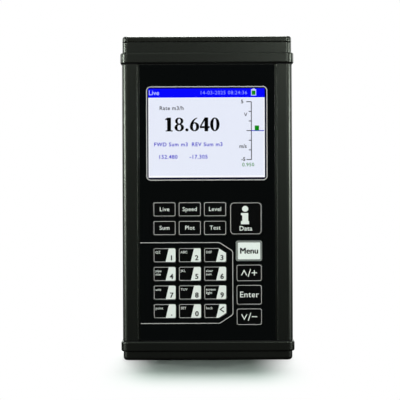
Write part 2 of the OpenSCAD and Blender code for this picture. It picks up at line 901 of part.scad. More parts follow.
// Round panel socket: threaded barrel, collar on the plate, bore with contacts at its foot, and a tail
module socket(i) {
    bore = socket_bores[i];
    barrel = bore + barrel_wall;
    color(nickel)
        translate([socket_x(i), 0, 0])
            difference() {
                union() {
                    translate([0, 0, plate_z - thread_len])
                        cylinder(r = barrel, h = thread_len + plate_t + barrel_h);
                    translate([0, 0, plate_top])
                        cylinder(r = barrel + collar_wall, h = collar_h);
                    translate([0, 0, plate_z - thread_len - tail_len])
                        cylinder(r = tail_r, h = tail_len + over);
                }
                translate([0, 0, plate_top + barrel_h - bore_depth])
                    cylinder(r = bore, h = bore_depth + over);
                for (side = [-1, 1])
                    translate([side * bore / 2, 0, plate_top + barrel_h - bore_depth - contact_depth])
                        cylinder(r = contact_r, h = contact_depth + over);
            }
}

module upstream_socket() socket(0);
module downstream_socket() socket(1);
module signal_socket() socket(2);
module charge_socket() socket(3);

module socket_nuts() {
    color(nickel)
        for (i = [0 : len(socket_bores) - 1])
            translate([socket_x(i), 0, plate_z - nut_h])
                difference() {
                    cylinder(r = socket_bores[i] + barrel_wall + nut_wall, h = nut_h, $fn = 6);
                    translate([0, 0, -over])
                        cylinder(r = socket_bores[i] + barrel_wall + small_fit, h = nut_h + 2 * over);
                }
}

// Lead from each socket's tail down, round a bend and into its plug on the main board
module socket_leads() {
    color("#1a1a1a")
        for (i = [0 : len(socket_bores) - 1])
            translate([socket_x(i), 0, lead_bend_z]) {
                cylinder(r = lead_r, h = lead_drop);
                translate([0, -lead_bend_r, 0])
                    rotate([0, 90, 0])
                        rotate_extrude(angle = 90)
                            translate([lead_bend_r, 0])
                                circle(lead_r);
                translate([0, 0, -lead_bend_r]) {
                    rod_y(lead_r, board_back + lead_plug_h, -lead_bend_r);
                    rod_y(lead_plug_r, board_back, board_back + lead_plug_h);
                }
            }
}

module bottom_cap() {
    color(cap_black)
        difference() {
            union() {
                soft_slab(tier_w, tier_d, foot_h, tier_r, 0, foot_rim);
                translate([0, 0, low_band_z])
                    soft_slab(band_w, band_d, low_band_h, band_r, band_rim, band_rim);
                skirt_block(low_gasket_z - over, case_z + skirt_h, 0);
            }
            skirt_block(foot_floor, case_z + skirt_h + over, skirt_t);
            at_ports() {
                translate([0, 0, -over])
                    cylinder(r = screw_hole_r, h = low_gasket_z + 2 * over);
                translate([0, 0, -over])
                    cylinder(r = screw_head_r + sink_gap, h = screw_sink + over);
            }
        }
}

module bottom_gasket() {
    color(seal_black)
        translate([0, 0, low_gasket_z])
            linear_extrude(gasket_t)
                case_section(gasket_inset, screw_hole_r);
}

module bottom_cap_screws() {
    color(nickel)
        translate([0, 0, screw_sink])
            at_ports()
                mirror([0, 0, 1])
                    screw(screw_r, case_z - screw_sink + screw_grip, screw_head_r, screw_head_h);
}

// Glass and backlight behind the wall, with the picture's film reaching into the window
module display_module() {
    color("#0e1220") {
        translate([0, 0, module_z])
            translate([picture_x, 0, 0])
                upright(wall_y, wall_y + module_t)
                    rounded_square(module_w, module_h, module_r);
        translate([picture_x, 0, picture_z])
            upright(wall_y - film_t, wall_y)
                rounded_square(window_w - 2 * lay_gap, window_h - 2 * lay_gap, window_r);
    }
}

// Steel frame that holds the module against the wall
module display_bracket() {
    y = wall_y + module_t;
    color(steel)
        translate([picture_x, 0, module_z])
            difference() {
                upright(y, y + bracket_t)
                    rounded_square(bracket_w, module_h, standoff_r);
                upright(y - over, y + bracket_t + over)
                    rounded_square(module_w - 2 * bracket_lap, module_h - 2 * bracket_lap, standoff_r);
                // Way out for the display's ribbon
                translate([-display_ribbon_w / 2 - air_gap, y - over, -module_h / 2 - over])
                    cube([display_ribbon_w + 2 * air_gap, bracket_t + 2 * over, module_h / 2 + over]);
                for (x = [-1, 1], z = [-1, 1])
                    translate([x * module_standoff_x, 0, z * module_standoff_z])
                        rod_y(small_screw_r + small_fit, y - over, y + bracket_t + over);
            }
}

// Standoff on the front wall, from the wall back to the depth y
module standoff(y) {
    difference() {
        rod_y(standoff_r, wall_y, y);
        rod_y(small_screw_r + small_fit, y - small_screw_len, y + over);
    }
}

// Repeats its children at the display's standoffs
module at_module_standoffs() {
    for (x = [-1, 1], z = [-1, 1])
        translate([picture_x + x * module_standoff_x, 0, module_z + z * module_standoff_z])
            children();
}

// Repeats its children at the keypad board's standoffs
module at_key_standoffs() {
    for (x = [-1, 1], z = key_standoff_zs)
        translate([x * key_standoff_x, 0, z])
            children();
}

module wall_standoffs() {
    color(nickel) {
        at_module_standoffs()
            standoff(wall_y + module_t);
        at_key_standoffs()
            standoff(key_board_y);
    }
}

// Small screw driven forward, its head's seat at the depth y
module forward_screw(y, length) {
    translate([0, y, 0])
        rotate([-90, 0, 0])
            screw(small_screw_r, length, small_head_r, small_head_h);
}

module standoff_screws() {
    color(steel) {
        at_module_standoffs()
            forward_screw(wall_y + module_t + bracket_t, bracket_t + small_screw_len - air_gap);
        at_key_standoffs()
            forward_screw(key_board_y + board_t, board_t + min(small_screw_len, key_board_y - wall_y) - air_gap);
    }
}

module keypad_board() {
    color(board_green)
        difference() {
            translate([-key_board_w / 2, key_board_y, key_board_low])
                cube([key_board_w, board_t, key_board_high - key_board_low]);
            at_key_standoffs()
                rod_y(small_screw_r + small_fit, key_board_y - over, key_board_y + board_t + over);
        }
}

// Thin dished disc under each key's stem
module snap_domes() {
    color(steel)
        for (k = KEYS)
            translate([k[1], key_board_y, k[2]])
                rotate([90, 0, 0])
                    rotate_extrude()
                        polygon([
                            [dome_r - dome_t, 0],
                            [dome_r, 0],
                            [crown_r, dome_h],
                            [0, dome_h],
                            [0, dome_h - dome_t],
                            [crown_r - dome_t, dome_h - dome_t]
                        ]);
}

module main_board() {
    color(board_green)
        translate([-board_w / 2, board_y, board_low])
            cube([board_w, board_t, board_high - board_low]);
}

// Block on the back of the main board
module rear_part(c) {
    translate([(c[0] - c[2] / 2) * board_w, board_back, parts_low + (c[1] - c[3] / 2) * parts_h])
        cube([c[2] * board_w, c[4] * part_rise, c[3] * parts_h]);
}

// Block on the face of the main board
module front_part(c) {
    translate([(c[0] - c[2] / 2) * board_w, board_y - c[4] * part_rise, board_low + (c[1] - c[3] / 2) * board_h])
        cube([c[2] * board_w, c[4] * part_rise, c[3] * board_h]);
}

// Connector on the face of the main board for a ribbon of the width w
module connector(w, share) {
    translate([-w / 2 - connector_side, board_y - connector_t, connector_z(share) - connector_h / 2])
        cube([w + 2 * connector_side, connector_t, connector_h]);
}

module board_components() {
    color("#2b2b2e") {
        for (c = rear_part_shares)
            rear_part(c);
        for (c = front_part_shares)
            front_part(c);
        connector(display_ribbon_w, display_connector_share);
        connector(keypad_ribbon_w, keypad_connector_share);
        for (p = coil_shares)
            translate([p[0] * board_w, 0, parts_low + p[1] * parts_h])
                rod_y(coil_r, board_back, board_back + coil_h);
    }
}

module beeper() {
    color("#141414")
        translate([beeper_shares[0] * board_w, 0, parts_low + beeper_shares[1] * parts_h])
            difference() {
                rod_y(beeper_r, board_back, board_back + beeper_h);
                rod_y(contact_r, board_back + beeper_h / 2, board_back + beeper_h + over);
            }
}

// Flat ribbon that eases from one depth to another between two heights
module ribbon(y0, z0, y1, z1, w) {
    path = [for (i = [0 : ribbon_steps]) let (t = i / ribbon_steps)
        [y0 + (y1 - y0) * ease(t), z0 + (z1 - z0) * t]];
    rear = [for (i = [ribbon_steps : -1 : 0]) [path[i][0] + ribbon_t, path[i][1]]];
    translate([-w / 2, 0, 0])
        rotate([90, 0, 90])
            linear_extrude(w)
                polygon(concat(path, rear));
}

module display_ribbon() {
    color("#a8662c")
        translate([picture_x, 0, 0])
            ribbon(wall_y + module_t, module_z - module_h / 2 + bracket_lap,
                   board_y - connector_t / 2, connector_z(display_connector_share) + connector_h / 2,
                   display_ribbon_w);
}

module keypad_ribbon() {
    color("#c9c9c4")
        ribbon(key_board_y + board_t, key_board_low + keypad_ribbon_rise,
               board_y - connector_t / 2, connector_z(keypad_connector_share) + connector_h / 2,
               keypad_ribbon_w);
}

// Repeats its children at each cell's place along X
module at_cells() {
    for (i = [0 : cells - 1])
        translate([(i - (cells - 1) / 2) * cell_pitch, cell_y, 0])
            children();
}

module battery_cells() {
    body = cell_len - terminal_h;
    color("#2f4f86")
        at_cells()
            translate([0, 0, cradle_z + cradle_end])
                rotate_extrude() {
                    rim_section(cell_d / 2, body, cell_rim, cell_rim);
                    square([terminal_r, body + terminal_h]);
                }
}

// Tray on the back wall with a trough for each cell and an end stop under them
module battery_cradle() {
    height = cell_len + 2 * cradle_end;
    wrap = cell_d * cradle_wrap_share;
    color("#3a3d40")
        translate([0, 0, cradle_z])
            difference() {
                translate([-cradle_w / 2, back_y - cradle_t - wrap, 0])
                    cube([cradle_w, cradle_t + wrap, height]);
                at_cells()
                    translate([0, 0, cradle_end])
                        cylinder(r = cell_d / 2 + small_fit, h = cell_len);
            }
}

case_extrusion();
front_panel();
display_window();
key_deck();
top_cap();
socket_lid();
lid_hinge_pin();
lid_seal();
top_gasket();
top_cap_screws();
socket_plate();
plate_screws();
upstream_socket();
downstream_socket();
signal_socket();
charge_socket();
socket_nuts();
socket_leads();
bottom_cap();
bottom_gasket();
bottom_cap_screws();
display_module();
display_bracket();
keypad_board();
snap_domes();
wall_standoffs();
standoff_screws();
main_board();
board_components();
beeper();
display_ribbon();
keypad_ribbon();
battery_cells();
battery_cradle();
for (k = KEYS)
    key(k);
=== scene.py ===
"""Handheld ultrasonic flow meter: finishes, prints, lit display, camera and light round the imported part."""
import math

import bmesh
import bpy
from mathutils import Matrix, Vector


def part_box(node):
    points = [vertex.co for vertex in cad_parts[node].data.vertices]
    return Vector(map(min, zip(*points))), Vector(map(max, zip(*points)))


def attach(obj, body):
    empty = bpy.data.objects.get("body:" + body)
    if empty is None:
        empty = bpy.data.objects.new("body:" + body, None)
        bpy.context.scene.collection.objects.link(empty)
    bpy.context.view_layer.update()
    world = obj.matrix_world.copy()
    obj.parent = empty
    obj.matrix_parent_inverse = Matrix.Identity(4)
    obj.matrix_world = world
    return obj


MM = 0.001

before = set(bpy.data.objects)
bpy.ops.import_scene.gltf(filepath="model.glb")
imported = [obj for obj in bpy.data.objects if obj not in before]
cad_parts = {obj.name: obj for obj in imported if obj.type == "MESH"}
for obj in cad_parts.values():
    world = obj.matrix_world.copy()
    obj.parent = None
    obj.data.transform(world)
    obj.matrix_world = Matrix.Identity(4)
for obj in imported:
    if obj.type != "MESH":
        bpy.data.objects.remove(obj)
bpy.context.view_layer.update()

# Where the photograph puts the object
PICTURE_PX = 400   # pixels across it and down
PIXEL = 0.6        # mm across a pixel
AXIS_PX = 207.4    # column of the meter's middle
FLOOR_PX = 359.8   # row of the floor


def px_x(px):
    """Millimetres across in the frame of a column of the picture."""
    return (px - AXIS_PX) * PIXEL


def px_z(py):
    """Millimetres up in the frame of a row of the picture."""
    return (FLOOR_PX - py) * PIXEL


# Materials -------------------------------------------------------------------------------------------


def srgb(code):
    """Linear RGBA of an sRGB hex colour."""
    values = [int(code[i:i + 2], 16) / 255 for i in (1, 3, 5)]
    return [v / 12.92 if v <= 0.04045 else ((v + 0.055) / 1.055) ** 2.4 for v in values] + [1.0]


def per_mm(size):
    """Scale of a pattern whose features are this many millimetres across."""
    return 1 / (size * MM)


def add(tree, kind, sockets=None, **settings):
    """Adds one node to a tree. A socket's value is a constant, or what is linked to it.

    That is an output, or a node, which stands for its first output in use."""
    made = tree.nodes.new(kind)
    for name, value in settings.items():
        setattr(made, name, value)
    for socket, value in (sockets or {}).items():
        if isinstance(value, bpy.types.Node):
            value = next(output for output in value.outputs if not output.is_unavailable)
        if isinstance(value, bpy.types.NodeSocket):
            tree.links.new(value, made.inputs[socket])
        else:
            made.inputs[socket].default_value = value
    return made


def blank(name):
    """A material with an empty tree, and the place of the shaded point on the object."""
    material = bpy.data.materials.new(name)
    material.use_nodes = True
    material.node_tree.nodes.clear()
    return material, material.node_tree, add(material.node_tree, "ShaderNodeTexCoord").outputs["Object"]


def finish_with(tree, shader):
    """Ends a material's tree in this shader."""
    add(tree, "ShaderNodeOutputMaterial", {"Surface": shader})


MOST_NOISE = (0.3, 0.7)      # where nearly all of a noise's values lie
MOTTLE = 24                  # mm across the broad mottle of a moulded skin
EDGE_TURN = (0.995, 0.8)     # cosine of an edge's turn at which its lighter colour, wear and painted highlight, starts, and at which it is full
EDGE_WEAR_AND_HIGHLIGHT = 0.7              # share of the lighter edge colour, wear and painted highlight, on a full edge
COAT_ROUGH = 0.05            # roughness of a clear coat


def moulded(name, colour, shade, wear_and_highlight_colour, grain, depth, gloss, edge=0.25, coat=0.0, streak=(1, 1, 1), shine=0.5,
            cast="#ffffff"):
    """Plastic, rubber or a fired coat: a fine grain in the skin, uneven gloss, and edges painted lighter,
    partly as wear and partly as a painted highlight.

    grain and depth are the grain's size and height in mm, gloss the lowest and highest roughness, edge the
    radius in mm over which an edge catches the light and is painted lighter, coat the share of a clear coat,
    streak the grain's squeeze along each axis, shine the level of its reflections and cast their colour."""
    material, tree, place = blank(name)
    stretched = add(tree, "ShaderNodeMapping", {"Vector": place, "Scale": streak})
    fine = add(tree, "ShaderNodeTexNoise", {
        "Vector": stretched, "Scale": per_mm(grain), "Detail": 3.0, "Roughness": 0.6})
    broad = add(tree, "ShaderNodeTexNoise", {
        "Vector": place, "Scale": per_mm(MOTTLE), "Detail": 4.0, "Roughness": 0.55})
    rounded = add(tree, "ShaderNodeBevel", {"Radius": edge * MM}, samples=4)
    flat = add(tree, "ShaderNodeNewGeometry").outputs["Normal"]
    along = add(tree, "ShaderNodeVectorMath", {0: rounded, 1: flat}, operation="DOT_PRODUCT")
    on_edge = add(tree, "ShaderNodeMapRange", {
        "Value": along, "From Min": EDGE_TURN[0], "From Max": EDGE_TURN[1], "To Min": 0.0,
        "To Max": EDGE_WEAR_AND_HIGHLIGHT})
    # Edges painted lighter: partly wear, partly a painted highlight standing in for light on the rounded edge
    wear_and_highlight = add(tree, "ShaderNodeMath", {0: on_edge, 1: fine}, operation="MULTIPLY")
    mottled = add(tree, "ShaderNodeMix", {0: broad, 6: srgb(colour), 7: srgb(shade)}, data_type="RGBA")
    base = add(tree, "ShaderNodeMix", {0: wear_and_highlight, 6: mottled, 7: srgb(wear_and_highlight_colour)}, data_type="RGBA")
    rough = add(tree, "ShaderNodeMapRange", {
        "Value": fine, "From Min": MOST_NOISE[0], "From Max": MOST_NOISE[1], "To Min": gloss[0],
        "To Max": gloss[1]})
    relief = add(tree, "ShaderNodeBump", {
        "Height": fine, "Distance": depth * MM, "Strength": 1.0, "Normal": rounded})
    skin = add(tree, "ShaderNodeBsdfPrincipled", {
        "Base Color": base, "Roughness": rough, "Normal": relief, "Specular IOR Level": shine,
        "Specular Tint": srgb(cast), "Coat Weight": coat, "Coat Roughness": COAT_ROUGH})
    finish_with(tree, skin)
    return material


DULL_PATCH = 3        # mm across a duller patch on metal
METAL_EDGE = 0.12     # mm over which its edges catch the light
TOOL_MARK = 0.004     # mm that its tool marks stand up


def metal(name, colour, dull, grain, gloss, streak):
    """Plated or bare metal: its own colour, fine tool marks drawn out along one axis, and duller patches."""
    material, tree, place = blank(name)
    drawn = add(tree, "ShaderNodeMapping", {"Vector": place, "Scale": streak})
    marks = add(tree, "ShaderNodeTexNoise", {
        "Vector": drawn, "Scale": per_mm(grain), "Detail": 4.0, "Roughness": 0.7})
    patches = add(tree, "ShaderNodeTexNoise", {"Vector": place, "Scale": per_mm(DULL_PATCH), "Detail": 3.0})
    base = add(tree, "ShaderNodeMix", {0: patches, 6: srgb(colour), 7: srgb(dull)}, data_type="RGBA")
    rough = add(tree, "ShaderNodeMapRange", {
        "Value": marks, "From Min": MOST_NOISE[0], "From Max": MOST_NOISE[1], "To Min": gloss[0],
        "To Max": gloss[1]})
    rounded = add(tree, "ShaderNodeBevel", {"Radius": METAL_EDGE * MM}, samples=4)
    relief = add(tree, "ShaderNodeBump", {"Height": marks, "Distance": TOOL_MARK * MM, "Normal": rounded})
    skin = add(tree, "ShaderNodeBsdfPrincipled", {
        "Base Color": base, "Metallic": 1.0, "Roughness": rough, "Normal": relief})
    finish_with(tree, skin)
    return material


SCREEN_MESH = 0.35            # mm across a spot where the printing mesh left the ink thin
THIN_FROM, THIN_FULL = 0.6, 0.75   # the noise's value at which the ink starts to thin, and is thinnest
THIN_MOST = 0.35              # share of the thin colour there
INK_RELIEF = 0.006            # mm that the ink's mottle stands up
INK_SHINE = 0.3               # level of its reflections


def ink(name, colour, thin, gloss=(0.45, 0.6)):
    """Screen-printed ink: nearly even, with the mesh's slight mottle where the film shows through."""
    material, tree, place = blank(name)
    mesh = add(tree, "ShaderNodeTexNoise", {"Vector": place, "Scale": per_mm(SCREEN_MESH), "Detail": 2.0})
    cover = add(tree, "ShaderNodeMapRange", {
        "Value": mesh, "From Min": THIN_FROM, "From Max": THIN_FULL, "To Min": 0.0, "To Max": THIN_MOST})
    base = add(tree, "ShaderNodeMix", {0: cover, 6: srgb(colour), 7: srgb(thin)}, data_type="RGBA")
    rough = add(tree, "ShaderNodeMapRange", {"Value": mesh, "To Min": gloss[0], "To Max": gloss[1]})
    relief = add(tree, "ShaderNodeBump", {"Height": mesh, "Distance": INK_RELIEF * MM})
    skin = add(tree, "ShaderNodeBsdfPrincipled", {
        "Base Color": base, "Roughness": rough, "Normal": relief, "Specular IOR Level": INK_SHINE})
    finish_with(tree, skin)
    return material


CELL_PITCH = 0.22  # mm from one cell of the display to the next
CELL_GAP = 0.97    # share of the light that is left between two cells
GLOW = 1.12        # strength of the display's light


def lit(name, colour):
    """Lit colour of the display: its light comes through rows of cells, a little darker between two cells."""
    material, tree, place = blank(name)
    apart = add(tree, "ShaderNodeSeparateXYZ", {"Vector": place})
    share = GLOW
    for axis in ("X", "Z"):
        wave = add(tree, "ShaderNodeMath", {
            0: apart.outputs[axis], 1: math.tau * per_mm(CELL_PITCH)}, operation="MULTIPLY")
        ripple = add(tree, "ShaderNodeMath", {0: wave}, operation="COSINE")
        kept = add(tree, "ShaderNodeMapRange", {
            "Value": ripple, "From Min": -1.0, "From Max": 1.0, "To Min": CELL_GAP, "To Max": 1.0})
        share = add(tree, "ShaderNodeMath", {0: kept, 1: share}, operation="MULTIPLY")
    glow = add(tree, "ShaderNodeEmission", {"Color": srgb(colour), "Strength": share})
    finish_with(tree, glow)
    return material


WIPE_MARK = 1.5                    # mm across a wiping mark on the window
WIPE_WAY = math.radians(35)        # slant of the marks
WIPE_LONG = (1.0, 1.0, 0.15)       # and how they are drawn out
WIPE_SPAN, WIPE_ROUGH = (0.4, 0.8), 0.03   # the noise's values from no mark to a full one, and its roughness


def pane(name):
    """Cast acrylic window with a hard coat: clear, with a trace of wiping marks in its gloss."""
    material, tree, place = blank(name)
    wiped = add(tree, "ShaderNodeMapping", {
        "Vector": place, "Scale": WIPE_LONG, "Rotation": (0, WIPE_WAY, 0)})
    marks = add(tree, "ShaderNodeTexNoise", {"Vector": wiped, "Scale": per_mm(WIPE_MARK), "Detail": 5.0})
    rough = add(tree, "ShaderNodeMapRange", {
        "Value": marks, "From Min": WIPE_SPAN[0], "From Max": WIPE_SPAN[1], "To Min": 0.0,
        "To Max": WIPE_ROUGH})
    skin = add(tree, "ShaderNodeBsdfPrincipled", {
        "Base Color": srgb("#fbfdff"), "Roughness": rough, "IOR": 1.49, "Transmission Weight": 1.0})
    finish_with(tree, skin)
    return material


TRACK = {"Mortar Size": 0.12, "Brick Width": 5.0, "Row Height": 0.9}   # mm of a track and the mask between
WEAVE = 0.7                 # mm across a square of the board's weave
BOARD_GLOSS = (0.28, 0.4)   # roughness of the mask, and over a track
TRACK_H = 0.03              # mm that a track stands up


def circuit(name, mask, copper):
    """Glass-epoxy board under solder mask: the weave just shows, and tracks stand up as paler lines."""
    material, tree, place = blank(name)
    tracks = add(tree, "ShaderNodeTexBrick", {
        "Vector": place, "Scale": per_mm(1.0), "Color1": srgb(mask), "Color2": srgb(mask),
        "Mortar": srgb(copper), **TRACK})
    weave = add(tree, "ShaderNodeTexChecker", {"Vector": place, "Scale": per_mm(WEAVE)}).outputs["Fac"]
    base = add(tree, "ShaderNodeMix", {0: weave, 6: tracks.outputs["Color"], 7: srgb(mask)}, data_type="RGBA")
    rough = add(tree, "ShaderNodeMapRange", {
        "Value": tracks.outputs["Fac"], "To Min": BOARD_GLOSS[0], "To Max": BOARD_GLOSS[1]})
    relief = add(tree, "ShaderNodeBump", {"Height": tracks.outputs["Fac"], "Distance": TRACK_H * MM})
    skin = add(tree, "ShaderNodeBsdfPrincipled", {"Base Color": base, "Roughness": rough, "Normal": relief})
    finish_with(tree, skin)
    return material


# Extruded aluminium, blasted and fired with a satin black coat: the die's faint lines run up its length
case_coat = moulded("coated_extrusion", "#080908", "#0a0c0a", "#3a3f38", grain=0.35, depth=0.002,
                    gloss=(0.3, 0.38), edge=0.5, streak=(1, 1, 0.2), shine=0.36, cast="#f1ffec")
# End caps of glass-filled nylon from a spark-eroded mould: a soft grain that breaks up the gloss
cap_nylon = moulded("grained_nylon", "#090a09", "#0d0e0c", "#4a4f47", grain=0.5, depth=0.003,
                    gloss=(0.27, 0.33), edge=0.35, shine=0.43, cast="#f1ffec")
# The lid is of the same nylon from a mould worn smoother, so it shines a little more
lid_nylon = moulded("lid_nylon", "#0a0a08", "#0d0d0a", "#2f3029", grain=0.5, depth=0.002, gloss=(0.24, 0.3),
                    edge=0.3, shine=0.42, cast="#f1ffec")
# Front panel of polycarbonate film printed black on its back: glossy, with only dust and wiping in its shine
film = moulded("printed_film", "#060808", "#070909", "#1a1d1c", grain=2.0, depth=0.0002, gloss=(0.06, 0.1),
               edge=0.1)
# Key deck of moulded acrylic-styrene plastic: black and half matt, so that it sinks behind the keys
deck = moulded("deck_plastic", "#050606", "#070808", "#151716", grain=0.3, depth=0.004, gloss=(0.4, 0.55),
               edge=0.1)
# Black key caps of acrylic moulded in a polished tool, under a hard coat: as even and glossy as the film
key_black = moulded("key_cap_black", "#050606", "#070808", "#1c1f1e", grain=0.6, depth=0.0003,
                    gloss=(0.12, 0.2), edge=0.08)
# White key cap of the same moulding, dyed through: a softer shine
key_white = moulded("key_cap_white", "#e5f0e7", "#dfe9e1", "#eef0ee", grain=0.6, depth=0.0004,
                    gloss=(0.25, 0.35), edge=0.08)
# Gaskets and seals of moulded silicone rubber: dull and dark
rubber = moulded("silicone", "#060707", "#0a0b0b", "#141615", grain=0.25, depth=0.01, gloss=(0.7, 0.9),
                 edge=0.1, shine=0.2)
# Battery tray of moulded blue-grey plastic: a plain skin, half matt
tray = moulded("tray_plastic", "#33373a", "#3a3e41", "#5d6164", grain=0.4, depth=0.006, gloss=(0.45, 0.6))
# Shrink sleeve over the battery cells: thin glossy film with draw marks along the cell
sleeve = moulded("shrink_sleeve", "#27508f", "#2f5aa0", "#6f93cf", grain=1.2, depth=0.01, gloss=(0.18, 0.3),
                 coat=0.4, streak=(1, 1, 0.25))
# Encapsulated parts of moulded black epoxy: a fine matt skin
epoxy = moulded("moulded_epoxy", "#1b1b1d", "#232326", "#4a4a4e", grain=0.15, depth=0.004, gloss=(0.5, 0.7),
                edge=0.1)
# Polyimide ribbon: amber film with the copper lines under it drawn along its length
amber = moulded("polyimide", "#a8601f", "#8f4c14", "#c98540", grain=0.8, depth=0.004, gloss=(0.2, 0.35),
                streak=(1, 0.05, 0.05))
# Keypad tail of grey polyester film: printed silver lines along its length
tail = moulded("keypad_tail", "#b6b8b2", "#9a9c97", "#cfd0cc", grain=0.8, depth=0.004, gloss=(0.3, 0.45),
               streak=(1, 0.05, 0.05))
# Jacket of the thin leads, extruded soft plastic: smooth and half matt
jacket = moulded("lead_jacket", "#111212", "#191a1a", "#2e3030", grain=0.3, depth=0.006, gloss=(0.45, 0.6))
# Back and edges of the display module: dark glass in a blackened steel tray, deep and glossy
module_glass = moulded("module_glass", "#0b0f18", "#101624", "#2b3240", grain=2.0, depth=0.001,
                       gloss=(0.08, 0.2), coat=0.5)
# Rolled spring steel and zinc-plated steel: rolling lines along one way
steel = metal("rolled_steel", "#a3a7aa", "#8b9094", grain=0.12, gloss=(0.22, 0.38), streak=(0.08, 1, 1))
# Turned brass under satin nickel: fine turning marks round the part show as short bands up its height
nickel = metal("satin_nickel", "#8d897f", "#79766d", grain=0.1, gloss=(0.34, 0.5), streak=(0.2, 0.2, 1))
# Circuit boards under green solder mask, and the display's clear window
board_mask = circuit("solder_mask", "#14502c", "#3c8a58")
window = pane("acrylic_window")

# Gold flashed over nickel on the contacts: warm and fairly bright
gold = metal("gold_flash", "#d8b25a", "#c49a44", grain=0.1, gloss=(0.16, 0.3), streak=(0.2, 0.2, 1))
# Contact carriers of white pressed fluoroplastic: waxy, with a faint grain
carrier = moulded("fluoroplastic", "#d9d8d0", "#cfcdc4", "#e8e7e0", grain=0.3, depth=0.003, gloss=(0.35, 0.5))
# Colour rings on the sensor sockets, of moulded nylon: strong colours with a soft shine
ring_red = moulded("ring_red", "#9c1f1a", "#8c1814", "#b9534c", grain=0.3, depth=0.003, gloss=(0.35, 0.5),
                   edge=0.1)
ring_blue = moulded("ring_blue", "#1d4a96", "#183f84", "#5079b8", grain=0.3, depth=0.003, gloss=(0.35, 0.5),
                    edge=0.1)
# Sintered end caps of the small parts, dipped in tin: pale grey and uneven
tin = metal("dipped_tin", "#b9bcbe", "#9fa2a4", grain=0.15, gloss=(0.3, 0.5), streak=(1, 1, 1))

# Printed inks, each over the black film or a black cap
grey_ink = ink("grey_line_ink", "#acaeaa", "#7d7f7b")
white_ink = ink("white_ink", "#d9e2da", "#c1c9c2")
black_ink = ink("black_ink", "#101311", "#1c201d", gloss=(0.4, 0.5))
# Darker grey over the menu key's round rim: partly print, partly painted shade of the rim
rim_ink_and_shade = ink("rim_grey_ink_and_painted_shade", "#757d77", "#616862")

# Lit colours of the display
lit_margin = lit("lit_margin", "#05072e")
lit_border = lit("lit_border", "#fbfbff")
lit_field = lit("lit_field", "#e9ecf8")
lit_header = lit("lit_header", "#0505fd")
lit_header_text = lit("lit_header_text", "#c9d2ff")
lit_clock = lit("lit_clock", "#8d99fb")
lit_black = lit("lit_black", "#030303")
lit_blue = lit("lit_blue", "#2a22c8")
lit_grey = lit("lit_grey", "#2c2d33")
lit_green = lit("lit_green", "#0b860b")

# Finish of each CAD node. One that isn't named here is a black key cap
FINISH = {
    case_coat: ["case_extrusion"],
    cap_nylon: ["top_cap", "bottom_cap"],
    lid_nylon: ["socket_lid"],
    film: ["front_panel"],
    deck: ["key_deck"],
    key_white: ["key_menu"],
    rubber: ["lid_seal", "top_gasket", "bottom_gasket"],
    tray: ["battery_cradle"],
    sleeve: ["battery_cells"],
    epoxy: ["board_components", "beeper"],
    amber: ["display_ribbon"],
    tail: ["keypad_ribbon"],
    jacket: ["socket_leads"],
    module_glass: ["display_module"],
    window: ["display_window"],
    board_mask: ["keypad_board", "main_board"],
    steel: ["lid_hinge_pin", "plate_screws", "display_bracket", "snap_domes", "standoff_screws"],
    nickel: ["top_cap_screws", "bottom_cap_screws", "socket_plate", "upstream_socket", "downstream_socket",
             "signal_socket", "charge_socket", "socket_nuts", "wall_standoffs"],
}
finish_of = {node: material for material, nodes in FINISH.items() for node in nodes}
for node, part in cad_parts.items():
    material = finish_of.get(node, key_black)
    if part.material_slots:
        for slot in part.material_slots:
            slot.material = material
    else:
        part.data.materials.append(material)


# Flat pieces -----------------------------------------------------------------------------------------

PRINT_T = 0.02          # mm of a print's thickness
CAPITAL_SHARE = 0.73    # height of a capital of the built-in face over its size
CHAMFER = 0.05          # mm of chamfer round the top of a block
ROUND_STEPS = 28        # corners of an ellipse
NO_LENGTH = 1e-9        # mm under which a step of a line is left out
SAME_POINT = 1e-4       # mm under which two corners of an outline are one
LINE_MITRE, INSET_MITRE = 0.3, 0.4   # least cosine that a corner of a line, or of an inset, is mitred by


def in_scene(name, data):
    """A new object, linked into the scene."""
    made = bpy.data.objects.new(name, data)
    bpy.context.scene.collection.objects.link(made)
    return made


def shape_of(holder):
    """The mesh that an object's words or modifiers come to."""
    bpy.context.view_layer.update()
    return bpy.data.meshes.new_from_object(holder.evaluated_get(bpy.context.evaluated_depsgraph_get()))


